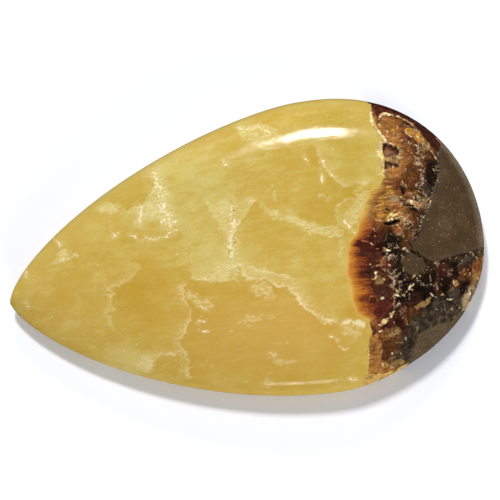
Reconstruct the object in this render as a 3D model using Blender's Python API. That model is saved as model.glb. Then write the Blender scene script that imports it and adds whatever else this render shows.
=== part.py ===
"""A pear-cut cabochon of septarian calcite, lying on its flat back.

The stone is one solid. Its crown is a low polished dome, its girdle is a narrow upright wall,
and its back is flat with a small bevel. Near the round end a band of dark crystals crosses the
stone from edge to edge. Each crystal is cut off at its own level, a little below the polish,
and three open pits lie between them.

Lengths are in metres. The point of the pear is at -X, +Z is up, and the origin is at the
middle of the flat back.
"""

import math

import bmesh
import bpy
import numpy as np
from mathutils import Matrix, Vector, noise
from mathutils.bvhtree import BVHTree
from mathutils.geometry import intersect_point_line

# The pear's outline. The powers shape each side: two for the point, two for the round end.
LENGTH = 0.0400
HALF_WIDTH = 0.0124
BELLY = 0.0262  # from the point to the widest place
FAR_SIDE = (1.55, 0.69, 2.38, 2.00)
NEAR_SIDE = (1.73, 0.717, 1.69, 2.33)
TIP_DETAIL = 4.0  # how much closer together the outline's points are at the tip
TIP_REACH = 0.0015

# The crown, a dome over a contour that is rounder the nearer it lies to the top.
HEIGHT = 0.0064
GIRDLE_TOP = 0.0015
CROWN_TOP = Vector((0.0059, 0.0, HEIGHT))
CORE_LENGTH = 0.0140
CORE_WIDTH = 0.0122
SHOULDER = 2.6  # higher is flatter on top
BROW = 1.7  # higher is steeper at the girdle
CROWN_RINGS = 15
FACE = 0.0009  # spacing of the points along a contour
TURNS_TRIED = 721

# The back: each level is a share of the outline and a height.
BACK_LEVELS = ((0.955, 0.0), (0.972, 0.00013), (0.985, 0.00045))

# The crystal band, outlined at the level of the crown's top. It dips: lower down in the stone
# it lies further along this slope.
BAND = (
    (0.0140, 0.0120),
    (0.0133, 0.0081),
    (0.0130, 0.0062),
    (0.0126, 0.0039),
    (0.0111, 0.0030),
    (0.0098, 0.0010),
    (0.0086, -0.0009),
    (0.0078, -0.0036),
    (0.0080, -0.0060),
    (0.0092, -0.0077),
    (0.0092, -0.0110),
    (0.0095, -0.0140),
    (0.0130, -0.0140),
    (0.0135, -0.0100),
    (0.0160, -0.0091),
    (0.0220, -0.0068),
    (0.0220, -0.0038),
    (0.0182, -0.0037),
    (0.0155, -0.0039),
    (0.0138, -0.0022),
    (0.0153, -0.0004),
    (0.0169, 0.0017),
    (0.0184, 0.0041),
    (0.0188, 0.0063),
    (0.0200, 0.0120),
)
DIP = (0.30, -0.20)
BAND_FADE = 0.0004  # the relief dies away over this distance at the band's border
BAND_HALVINGS = 2  # how often the faces in the band are halved

# The crystals, each a flat face at its own level and tilt.
CRYSTAL = 0.0013
RELIEF = 0.00026
TILT = 0.16
LEVEL_NOISE = 5.3  # how fast the level changes from crystal to crystal
LEAN_NOISE = 3.7
LEAN_SEED = 4  # keeps the crystals' leans the same in every run

# The open pits: the place on the crown, half the length, half the width, depth and turn.
PITS = {
    "round_pit": ((0.0134, 0.0064), 0.00082, 0.00064, 0.00110, 8.0),
    "small_pit": ((0.0131, 0.0050), 0.00050, 0.00030, 0.00060, -12.0),
    "gash": ((0.0123, 0.0003), 0.00075, 0.00024, 0.00060, 14.0),
}
PIT_LUMPS = 0.22  # share of a pit's size
LUMP_SPACING = 0.55  # in halves of the pit's length


def clear_scene():
    for old in list(bpy.data.objects):
        bpy.data.objects.remove(old)


def half_width(along, powers):
    """Half the pear's width at a distance from its point."""
    tip_curve, tip_spread, end_curve, end_round = powers
    if along < BELLY:
        return HALF_WIDTH * (1 - (1 - along / BELLY) ** tip_curve) ** tip_spread
    beyond = (along - BELLY) / (LENGTH - BELLY)
    return HALF_WIDTH * max(0.0, 1 - beyond**end_curve) ** (1 / end_round)


def outline_point(turn):
    """A point of the outline, anticlockwise from the pear's point, in radians."""
    along = LENGTH * (1 - math.cos(turn)) / 2
    near = turn < math.pi
    width = half_width(along, NEAR_SIDE if near else FAR_SIDE)
    return Vector((along - LENGTH / 2, -width if near else width))


def contour_point(turn, share):
    """A point of the contour that lies this share of the way from the top to the outline."""
    middle = CROWN_TOP.xy
    ray = outline_point(turn) - middle
    unit = ray.normalized()
    core = 1 / math.hypot(unit.x / CORE_LENGTH, unit.y / CORE_WIDTH)
    return middle + unit * share * (core + (ray.length - core) * share)


def even_turns(share):
    """The turns at which a contour's points lie evenly along it, and closer at the tip."""
    turns = np.linspace(0, 2 * math.pi, TURNS_TRIED)
    places = np.array([contour_point(turn, share) for turn in turns])
    steps = np.linalg.norm(np.diff(places, axis=0), axis=1)
    from_tip = np.linalg.norm(places[1:] - np.array((-LENGTH / 2, 0.0)), axis=1)
    walked = np.append(0, np.cumsum(steps * (1 + TIP_DETAIL * np.exp(-from_tip / TIP_REACH))))
    count = round(walked[-1] / FACE)
    return np.interp(np.linspace(0, walked[-1], count, endpoint=False), walked, turns)


def crown_level(step):
    """Contour share and height of one ring of the crown, from 0 at the girdle upwards."""
    climb = math.pi / 2 * step / CROWN_RINGS
    share = math.cos(climb) ** (2 / SHOULDER)
    height = GIRDLE_TOP + (HEIGHT - GIRDLE_TOP) * math.sin(climb) ** (2 / BROW)
    return share, height


def each_once(edges):
    """The edges in their order without repeats, so that every run gives the same mesh."""
    return list(dict.fromkeys(edges))


def add_contour(bm, share, height):
    """Adds the closed ring of edges at one level."""
    turns = even_turns(share)
    ring = bmesh.ops.create_circle(bm, segments=len(turns), radius=LENGTH)["verts"]
    for vert, turn in zip(ring, turns):
        vert.co = contour_point(turn, share).to_3d()
        vert.co.z = height
    return each_once(edge for vert in ring for edge in vert.link_edges)


def raise_rings(bm):
    """Bridges ring to ring from the back, over the girdle, to the top of the crown."""
    levels = list(BACK_LEVELS) + [crown_level(step) for step in range(CROWN_RINGS)]
    rings = [add_contour(bm, share, height) for share, height in levels]
    for lower, upper in zip(rings, rings[1:]):
        bmesh.ops.bridge_loops(bm, edges=lower + upper)
    bmesh.ops.edgeloop_fill(bm, edges=rings[0])
    cap = bmesh.ops.edgeloop_fill(bm, edges=rings[-1])["faces"]
    top = bmesh.ops.poke(bm, faces=cap)["verts"][0]
    top.co = CROWN_TOP
    bmesh.ops.recalc_face_normals(bm, faces=bm.faces)


def at_top_level(place):
    """Follows the dip from a place in the stone up to the level of the crown's top."""
    drop = HEIGHT - place.z
    return Vector((place.x + DIP[0] * drop, place.y + DIP[1] * drop))


def depth_in_band(place):
    """Distance from the band's border, positive inside the band."""
    spot = at_top_level(place)
    nearest = math.inf
    inside = False
    for start, end in zip(BAND, BAND[1:] + BAND[:1]):
        start = Vector(start)
        end = Vector(end)
        foot, share = intersect_point_line(spot, start, end)
        foot = foot.xy if 0 <= share <= 1 else (start if share < 0 else end)
        nearest = min(nearest, (spot - foot).length)
        if (start.y > spot.y) != (end.y > spot.y):
            crossing = start.x + (spot.y - start.y) * (end.x - start.x) / (end.y - start.y)
            inside ^= spot.x < crossing
    return nearest if inside else -nearest


def refine_band(bm):
    """Halves the faces of the crown that lie in the crystal band."""
    edges = []
    for face in bm.faces:
        middle = face.calc_center_median()
        if middle.z > GIRDLE_TOP and depth_in_band(middle) > 0:
            edges.extend(face.edges)
    bmesh.ops.subdivide_edges(bm, edges=each_once(edges), cuts=1, use_grid_fill=True)
    bmesh.ops.triangulate(bm, faces=[face for face in bm.faces if 3 < len(face.verts) < 9])


def crystal_drop(place):
    """How far the crystal face at this place lies below the polish."""
    centre = noise.voronoi(place / CRYSTAL)[1][0]
    level = 0.5 + 0.5 * noise.noise(centre * LEVEL_NOISE)
    lean = noise.noise_vector(centre * LEAN_NOISE)
    slope = TILT * lean.dot(place - centre * CRYSTAL)
    return min(max(RELIEF * level + slope, 0.0), RELIEF)


def sink_crystals(bm):
    """Lowers each crystal of the band to its own level."""
    noise.seed_set(LEAN_SEED)
    bm.normal_update()
    moves = {}
    for vert in bm.verts:
        above_girdle = (vert.co.z - GIRDLE_TOP) / BAND_FADE
        in_band = depth_in_band(vert.co) / BAND_FADE
        fade = min(max(min(above_girdle, in_band), 0.0), 1.0)
        if fade:
            moves[vert] = -vert.normal * crystal_drop(vert.co) * fade
    for vert, move in moves.items():
        vert.co += move


def add_pit(stone, surface, name, place, half_length, half_breadth, depth, turn):
    """Cuts one lumpy hollow into the crown, with its mouth on the surface."""
    above = Vector((place[0], place[1], 2 * HEIGHT))
    mouth = surface.ray_cast(above, Vector((0, 0, -1)))[0]
    bm = bmesh.new()
    bmesh.ops.create_icosphere(bm, subdivisions=2, radius=1.0)
    for vert in bm.verts:
        lump = noise.noise(vert.co / LUMP_SPACING + Vector(place).to_3d() / CRYSTAL)
        vert.co *= 1 + PIT_LUMPS * lump
    bmesh.ops.scale(bm, vec=(half_length, half_breadth, depth), verts=bm.verts)
    bmesh.ops.rotate(bm, matrix=Matrix.Rotation(math.radians(turn), 3, "Z"), verts=bm.verts)
    cutter = new_object(name, bm)
    cutter.location = mouth
    cutter.hide_render = True
    cutter.display_type = "WIRE"
    cut = stone.modifiers.new(name, "BOOLEAN")
    cut.operation = "DIFFERENCE"
    cut.solver = "EXACT"
    cut.object = cutter


def new_object(name, bm):
    mesh = bpy.data.meshes.new(name)
    bm.to_mesh(mesh)
    bm.free()
    made = bpy.data.objects.new(name, mesh)
    bpy.context.scene.collection.objects.link(made)
    return made


def calcite():
    material = bpy.data.materials.new("yellow_calcite")
    material.use_nodes = True
    shader = material.node_tree.nodes["Principled BSDF"]
    shader.inputs["Base Color"].default_value = (0.56, 0.40, 0.10, 1.0)
    shader.inputs["Roughness"].default_value = 0.18
    shader.inputs["Metallic"].default_value = 0.0
    material.diffuse_color = (0.56, 0.40, 0.10, 1.0)
    return material


def main():
    clear_scene()
    bm = bmesh.new()
    raise_rings(bm)
    for _ in range(BAND_HALVINGS):
        refine_band(bm)
    surface = BVHTree.FromBMesh(bm)
    sink_crystals(bm)
    stone = new_object("cabochon", bm)
    stone.data.materials.append(calcite())
    stone.data.shade_smooth()
    stone.data.set_sharp_from_angle(angle=math.radians(30))
    for name, (place, half_length, half_breadth, depth, turn) in PITS.items():
        add_pit(stone, surface, name, place, half_length, half_breadth, depth, turn)


main()
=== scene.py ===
"""The looks of a pear-cut cabochon of septarian calcite, modelled around its solid.

The stone is one piece: a polished dome of cloudy yellow calcite, crossed near its round end by a
band of dark crystals, with brown mudstone beyond it. Its pattern is laid out in millimetres from
the middle of the flat back, seen from above, at the level of the crown's top. It runs down through
the stone along a slope, so the sides and the back show it too.
"""

import math
from functools import partial, reduce

import bmesh
import bpy
import numpy as np
from bpy.props import FloatProperty, FloatVectorProperty, IntProperty, PointerProperty
from mathutils import Matrix, Vector, noise


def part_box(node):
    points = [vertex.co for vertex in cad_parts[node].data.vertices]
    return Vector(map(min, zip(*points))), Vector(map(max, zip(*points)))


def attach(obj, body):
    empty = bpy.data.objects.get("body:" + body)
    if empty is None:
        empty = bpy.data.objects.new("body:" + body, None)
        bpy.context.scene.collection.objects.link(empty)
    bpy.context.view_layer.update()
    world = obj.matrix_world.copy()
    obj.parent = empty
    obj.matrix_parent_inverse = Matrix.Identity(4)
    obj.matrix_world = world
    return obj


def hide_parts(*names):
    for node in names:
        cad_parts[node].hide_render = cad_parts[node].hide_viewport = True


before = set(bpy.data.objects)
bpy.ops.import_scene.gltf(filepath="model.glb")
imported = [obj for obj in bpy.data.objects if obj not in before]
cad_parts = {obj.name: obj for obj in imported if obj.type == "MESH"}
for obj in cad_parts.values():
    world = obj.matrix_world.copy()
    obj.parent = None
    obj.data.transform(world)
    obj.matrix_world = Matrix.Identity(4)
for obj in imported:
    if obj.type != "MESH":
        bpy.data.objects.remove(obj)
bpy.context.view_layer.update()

bl_info = {
    "name": "Septarian Cabochon",
    "version": (1, 0, 0),
    "blender": (4, 5, 0),
    "location": "3D View > Sidebar > Cabochon",
    "description": "Models and dresses a pear-cut cabochon of septarian calcite",
    "category": "Object",
}

NODE = "cabochon"
BODY = "root"
LOW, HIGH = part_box(NODE)
MM = 0.001

# The stone's outline and dome, as the solid has them. The powers shape each side: two for the
# point, two for the round end.
FAR_SIDE = (1.55, 0.69, 2.38, 2.00)
NEAR_SIDE = (1.73, 0.717, 1.69, 2.33)
CROWN_AHEAD = 0.0059  # from the stone's middle to the top of the crown
CORE_LENGTH = 0.0140  # half the length and width of the roundest contours
CORE_WIDTH = 0.0122
SHOULDER = 2.6  # higher is flatter on top
BROW = 1.7  # higher is steeper at the girdle
BACK_LEVELS = ((0.955, 0.0), (0.972, 0.00013), (0.985, 0.00045))  # outline's share and height
DIP = np.array((0.30, -0.20))  # how far the pattern moves for each step down into the stone

# The mesh.
TIP_DETAIL = 2.0  # how much closer together a contour's points are at the tip
TIP_REACH = 0.0015
TURNS_TRIED = 2881
FEWEST_POINTS = 8
CROWN_SLOPE = 0.01403  # spacing times the number of the crown's rings
BAND_MARGINS = (0.35, 0.10, 0.10)  # how far round the band each halving reaches, in millimetres
FLECK_DETAIL = 2.0  # the mesh is finer this far round a white line, in halves of its width

# The pattern, in millimetres. The calcite's edge and the line beyond the stone close one outline.
CALCITE_EDGE = (
    (14.3, 14.0), (14.0, 10.4), (13.5, 9.7), (13.3, 8.9), (13.3, 8.1), (13.4, 7.1), (13.1, 6.1),
    (12.9, 5.1), (12.6, 3.9), (11.9, 3.2), (11.1, 3.0), (10.5, 2.0), (9.8, 1.0), (9.3, -0.2),
    (8.6, -0.9), (8.2, -1.7), (7.8, -3.6), (8.0, -4.8), (8.0, -6.0), (8.3, -7.1), (9.2, -7.7),
    (9.4, -8.7), (9.2, -9.9), (9.1, -11.0), (9.2, -12.1), (9.6, -16.0),
)
BEYOND_EDGE = ((30.0, -16.0), (30.0, 14.0))
MUDSTONE = {
    "round_end": (
        (22.0, 12.0), (19.2, 8.0), (18.8, 6.3), (19.0, 5.8), (18.6, 5.3), (18.2, 4.6), (18.2, 4.2),
        (17.9, 3.6), (17.5, 2.8), (17.0, 2.0), (16.6, 1.5), (16.2, 0.9), (15.7, 0.3), (15.3, -0.3),
        (14.9, -0.9), (14.6, -1.5), (13.8, -2.0), (13.9, -2.5), (14.7, -3.3), (15.5, -3.9),
        (16.7, -3.8), (18.2, -3.7), (19.5, -3.6), (26.0, -3.4), (30.0, 12.0),
    ),
    "island": (
        (13.5, -2.6), (13.0, -3.1), (12.7, -3.8), (13.2, -4.6), (14.0, -4.6), (14.9, -4.2),
        (14.6, -3.6), (14.0, -3.0),
    ),
    "lens": (
        (12.4, -14.0), (13.2, -11.5), (13.2, -10.9), (13.5, -10.3), (13.6, -9.8), (14.2, -9.5),
        (14.9, -9.3), (15.9, -9.2), (16.6, -9.2), (17.4, -9.0), (18.3, -8.6), (24.0, -7.4),
        (24.0, -14.0),
    ),
}

# The veils, cleavage sheets inside the calcite that end in a torn crest. The right-hand side of
# each line is the amber one. Then come strength, amber reach, pale reach and crest brightness.
VEILS = {
    "upper": {
        "main": (
            ((-5.0, -1.7), (-4.0, -1.8), (-3.2, -2.1), (-2.3, -2.4), (-1.8, -2.3), (-1.4, -1.3),
             (-0.7, -1.4), (-0.5, -2.1), (-0.1, -2.6), (1.1, -2.7), (2.0, -3.5), (2.9, -3.8),
             (3.5, -4.3), (3.8, -5.3), (4.4, -6.0), (5.2, -6.9), (6.0, -7.3), (6.8, -7.1)),
            1.0, 5.0, 2.0, 0.9,
        ),
        "lobe": (
            ((7.5, 8.0), (7.6, 7.1), (7.8, 6.1), (8.1, 5.1), (8.5, 4.3), (9.2, 3.7), (10.2, 3.5),
             (11.7, 3.7)),
            0.8, 1.6, 2.2, 0.40,
        ),
        "olive": (
            ((-4.6, 8.7), (-5.5, 7.5), (-5.9, 6.5), (-6.6, 5.7), (-7.4, 5.1), (-8.3, 5.0),
             (-9.0, 5.5), (-9.6, 6.2)),
            0.8, 2.0, 1.0, 0.5,
        ),
        "left": (
            ((-11.5, -4.7), (-11.2, -3.2), (-11.0, -2.0), (-11.4, -1.2), (-10.4, -1.1),
             (-9.6, -0.9), (-9.3, -0.5), (-8.6, 0.0), (-9.3, 1.0)),
            0.6, 3.0, 0.9, 0.35,
        ),
    },
    "lower": {
        "lobe_foot": (
            ((11.0, 3.0), (9.9, 2.8), (8.9, 2.7), (8.1, 2.2), (7.7, 1.4), (8.0, 0.5), (8.9, -0.2)),
            0.7, 1.2, 1.2, 0.45,
        ),
        "second": (
            ((3.9, -3.6), (3.2, -2.9), (2.3, -2.6), (1.5, -2.0), (0.5, -1.6), (-0.6, -0.9)),
            0.5, 1.5, 0.5, 0.6,
        ),
        "lower_left": (
            ((-5.2, -10.2), (-5.5, -9.3), (-5.5, -8.7), (-5.8, -7.8), (-6.1, -6.8), (-5.8, -6.0),
             (-5.1, -5.0), (-4.9, -4.2), (-5.2, -3.1), (-5.4, -2.0), (-4.9, -1.6)),
            0.8, 2.5, 0.7, 0.6,
        ),
        "middle": (
            ((-0.8, 0.7), (-0.3, 2.1), (0.1, 2.5), (0.7, 3.1), (1.3, 3.7), (1.9, 4.2)),
            0.7, 1.8, 0.7, 0.8,
        ),
        "low": (
            ((-8.5, -9.2), (-8.4, -8.4), (-8.3, -7.7), (-7.8, -7.6), (-7.2, -7.8), (-6.4, -7.5),
             (-5.9, -7.0)),
            0.8, 1.6, 0.9, 0.6,
        ),
    },
}

# Soft zones: centre, the two radii, turn in degrees and value.
ZONES = {
    "tone": (
        ((-2.7, 6.1), (4.2, 4.6), -10, -0.32),
        ((-2.0, -0.7), (3.8, 1.5), -10, -0.35),
        ((4.3, 4.7), (4.2, 2.9), -10, 0.10),
        ((2.4, 1.6), (2.5, 1.7), -10, 0.15),
        ((-7.5, 6.6), (2.3, 1.8), -10, 0.15),
        ((-8.4, -2.5), (3.2, 3.2), 0, 0.38),
        ((-13.7, -0.4), (5.0, 5.0), 0, 0.05),
        ((-10.3, -7.4), (2.3, 1.2), -10, -0.50),
        ((-0.6, -8.0), (6.6, 3.8), -10, 0.35),
        ((4.5, -7.2), (1.3, 0.8), -30, 0.30),
        ((9.3, 2.5), (2.5, 4.2), -10, 0.10),
        ((7.0, -9.8), (2.5, 2.9), -10, 0.10),
        ((-14.1, 2.1), (0.6, 0.4), 40, -0.35),
        ((7.9, -6.8), (0.7, 0.8), 0, 0.50),
    ),
    "warmth": (
        ((-0.2, -7.2), (7.5, 4.2), -10, 0.50),
        ((9.5, 3.3), (2.9, 5.0), -10, -0.50),
        ((3.5, -7.5), (2.5, 2.1), -10, 0.30),
        ((-15.1, -2.2), (3.3, 3.3), 0, 0.20),
        ((-7.3, 6.7), (2.4, 1.9), -10, -0.50),
        ((-2.2, 6.4), (5.0, 5.0), 0, -0.20),
        ((10.4, 9.3), (2.6, 2.2), -10, -0.45),
    ),
}

# Pale torn patches in the calcite, each a closed outline.
PATCHES = {
    "middle": (
        (-0.6, -2.6), (0.1, -3.0), (0.9, -2.9), (1.6, -3.5), (2.0, -4.1), (1.5, -4.6), (0.7, -4.2),
        (0.0, -3.7), (-0.5, -3.1),
    ),
    "streak": (
        (-1.3, -5.6), (-0.3, -5.5), (1.6, -5.8), (1.7, -6.1), (0.5, -6.1), (-0.5, -6.3),
        (-1.3, -6.0),
    ),
    "white": (
        (7.0, -7.7), (7.8, -7.7), (8.4, -8.1), (8.6, -8.5), (8.5, -9.1), (7.8, -9.1), (7.0, -8.5),
    ),
    "debris": (
        (-5.2, -2.3), (-4.6, -2.7), (-3.9, -3.2), (-3.2, -3.6), (-3.0, -4.3), (-3.4, -4.7),
        (-3.9, -4.4), (-4.3, -3.9), (-4.9, -3.6), (-5.2, -3.0),
    ),
    "low": ((-9.3, -7.8), (-8.6, -7.4), (-8.1, -7.8), (-8.3, -8.6), (-8.9, -8.7)),
    "left": ((-11.6, -1.0), (-11.0, -1.1), (-10.6, -1.5), (-11.0, -2.0), (-11.5, -1.7)),
    "cluster": (
        (-5.7, 8.1), (-5.0, 8.1), (-5.0, 7.0), (-4.8, 6.1), (-5.0, 4.8), (-4.9, 3.4), (-5.7, 3.1),
        (-6.3, 3.6), (-7.0, 3.5), (-7.8, 3.9), (-7.7, 4.7), (-7.0, 5.1), (-6.0, 5.8), (-5.5, 6.7),
    ),
    "upper_left": ((-10.6, 5.7), (-9.9, 6.0), (-8.8, 5.6), (-8.9, 5.0), (-10.0, 5.1)),
    "beside_crack": ((-1.5, 4.1), (-0.7, 4.7), (-0.3, 4.1), (-0.6, 2.8), (-1.2, 1.7), (-1.7, 2.2)),
    "below_crack": (
        (-2.8, -0.9), (-2.0, -0.7), (-1.2, -0.8), (-0.7, -1.6), (-1.1, -2.5), (-2.4, -2.4),
        (-3.0, -1.9),
    ),
    "star": (
        (2.6, 10.7), (2.9, 10.2), (3.8, 10.2), (4.5, 9.5), (4.0, 8.7), (3.1, 8.4), (2.5, 8.9),
        (2.1, 9.5),
    ),
    "ridge": (
        (2.1, 3.6), (2.7, 3.0), (3.5, 2.5), (4.6, 2.1), (5.8, 1.3), (7.1, 0.8), (8.3, 0.4),
        (8.1, -0.5), (6.9, -0.3), (5.6, 0.2), (4.7, 1.0), (3.9, 1.6), (2.9, 2.0), (2.2, 2.8),
    ),
    "haze": ((3.8, 10.2), (4.7, 9.9), (5.2, 8.7), (4.4, 7.8), (3.5, 7.7), (3.0, 8.7)),
    "beside_strip": (
        (10.1, 3.6), (11.0, 3.6), (10.7, 2.6), (10.1, 1.8), (9.5, 0.9), (8.8, 0.5), (8.5, 1.3),
        (9.3, 2.1), (9.7, 2.9),
    ),
    "wing": (
        (-0.5, 2.3), (-1.0, 3.2), (-1.6, 4.2), (-2.3, 5.1), (-2.6, 4.6), (-2.0, 3.4), (-1.2, 2.1),
    ),
    "mist": (
        (0.9, -8.9), (1.5, -9.3), (2.4, -9.8), (3.0, -9.9), (3.0, -10.1), (2.2, -10.1), (1.3, -9.7),
        (0.9, -9.3),
    ),
    "tip_lens": (
        (-14.9, 1.6), (-14.4, 2.4), (-14.1, 2.7), (-13.6, 2.5), (-13.6, 2.1), (-14.0, 1.7),
        (-14.4, 1.5),
    ),
    "by_the_band": (
        (8.9, 1.6), (9.8, 2.6), (10.8, 3.1), (11.2, 2.5), (10.5, 1.6), (9.6, 0.6), (8.9, 0.4),
    ),
}

# Dense white blocks in the calcite.
BLOCKS = {
    "cap": ((7.0, -7.4), (7.5, -7.3), (7.8, -7.4), (7.6, -7.7), (7.2, -7.7)),
    "slab": (
        (7.8, -7.5), (8.4, -7.5), (8.9, -7.8), (9.0, -8.1), (8.8, -8.25), (8.3, -8.0), (7.8, -7.7),
    ),
}

# White crushed lines in the calcite: half the width, then the line.
FLECKS = {
    "crack": (0.27, (
        (-0.3, 3.9), (-0.5, 3.0), (-0.4, 2.4), (-0.7, 2.0), (-0.8, 1.3), (-1.0, 0.6), (-1.0, 0.1),
        (-1.3, -0.4), (-1.4, -1.3),
    )),
    "cluster": (0.36, (
        (-5.4, 7.8), (-5.4, 6.9), (-5.5, 5.8), (-5.5, 5.2), (-5.6, 4.2), (-5.5, 3.4),
    )),
    "cluster_foot": (0.22, ((-7.3, 5.0), (-7.4, 4.5), (-7.7, 3.8))),
    "dash": (0.10, ((-6.1, 3.5), (-5.6, 3.3), (-4.9, 3.3))),
    "left_hook": (0.14, ((-9.9, 3.5), (-9.8, 3.0))),
    "left_dash": (0.10, ((-8.7, 2.9), (-8.2, 2.6))),
    "long_dash": (0.12, ((-7.6, 2.3), (-6.6, 2.3), (-5.8, 2.3), (-5.4, 2.5), (-4.9, 2.6))),
    "star": (0.16, ((2.4, 10.2), (2.6, 9.9), (3.0, 10.0))),
    "star_foot": (0.14, ((2.6, 10.0), (2.4, 9.4))),
    "top_run": (0.16, ((3.9, 10.0), (4.1, 9.6), (4.4, 9.4), (4.9, 9.1))),
    "upper_tick": (0.12, ((7.8, 6.2), (7.7, 5.6))),
    "lower_tick": (0.10, ((7.5, 5.1), (7.4, 4.5))),
    "speck_a": (0.10, ((6.4, 6.7), (6.5, 6.3))),
    "speck_b": (0.12, ((0.0, 7.6), (0.2, 7.3))),
    "speck_c": (0.10, ((8.3, 4.9), (8.5, 4.6))),
    "speck_d": (0.08, ((3.3, 4.3), (3.3, 3.7))),
    "tip_a": (0.10, ((-14.1, 3.6), (-13.9, 3.1))),
    "tip_b": (0.10, ((-14.6, 1.7), (-14.0, 1.9), (-13.0, 2.0))),
    "tip_c": (0.10, ((-16.9, 1.5), (-17.0, 0.9))),
    "tip_d": (0.10, ((-17.6, -1.2), (-17.4, -1.6))),
    "debris_a": (0.12, ((-4.9, -2.9), (-4.2, -3.4))),
    "debris_b": (0.10, ((-4.3, -4.0), (-3.6, -4.4))),
    "debris_c": (0.09, ((-4.6, -5.3), (-3.9, -5.3))),
    "debris_d": (0.08, ((-4.6, -6.0), (-3.9, -6.2))),
    "low_a": (0.12, ((0.9, -9.0), (1.4, -9.3))),
    "low_b": (0.09, ((6.0, -8.4), (6.5, -8.9))),
    "low_c": (0.09, ((6.6, -9.5), (7.2, -9.8))),
    "low_d": (0.12, ((7.6, -12.3), (8.2, -12.5))),
    "low_e": (0.10, ((0.6, -11.2), (1.2, -11.5))),
    "white_ridge": (0.16, ((7.0, -7.5), (7.6, -7.5), (8.2, -7.8), (8.7, -8.1))),
    "mid_dash": (0.10, ((7.0, 3.3), (7.5, 2.8), (7.7, 3.0))),
    "edge_a": (0.14, ((7.7, -0.3), (7.9, -1.2), (7.6, -1.6))),
    "edge_b": (0.12, ((8.5, 1.0), (8.8, 0.2), (9.2, -0.5))),
}

# Kinds of crystal and crumb in the band, and the pits' floor, as a screen shows them.
KINDS = {
    "black": (27, 20, 17),
    "soot": (63, 55, 46),
    "dark_wine": (58, 24, 18),
    "plum": (62, 34, 27),
    "wine": (78, 37, 30),
    "umber": (84, 52, 30),
    "rust": (119, 74, 42),
    "bronze": (143, 99, 54),
    "ochre": (172, 126, 54),
    "olive": (128, 101, 66),
    "ash": (146, 130, 104),
    "tan": (162, 132, 90),
    "peach": (172, 120, 70),
    "honey": (190, 158, 92),
    "straw": (214, 196, 140),
    "cream": (228, 210, 172),
    "pit_floor": (124, 80, 54),
}

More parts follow.
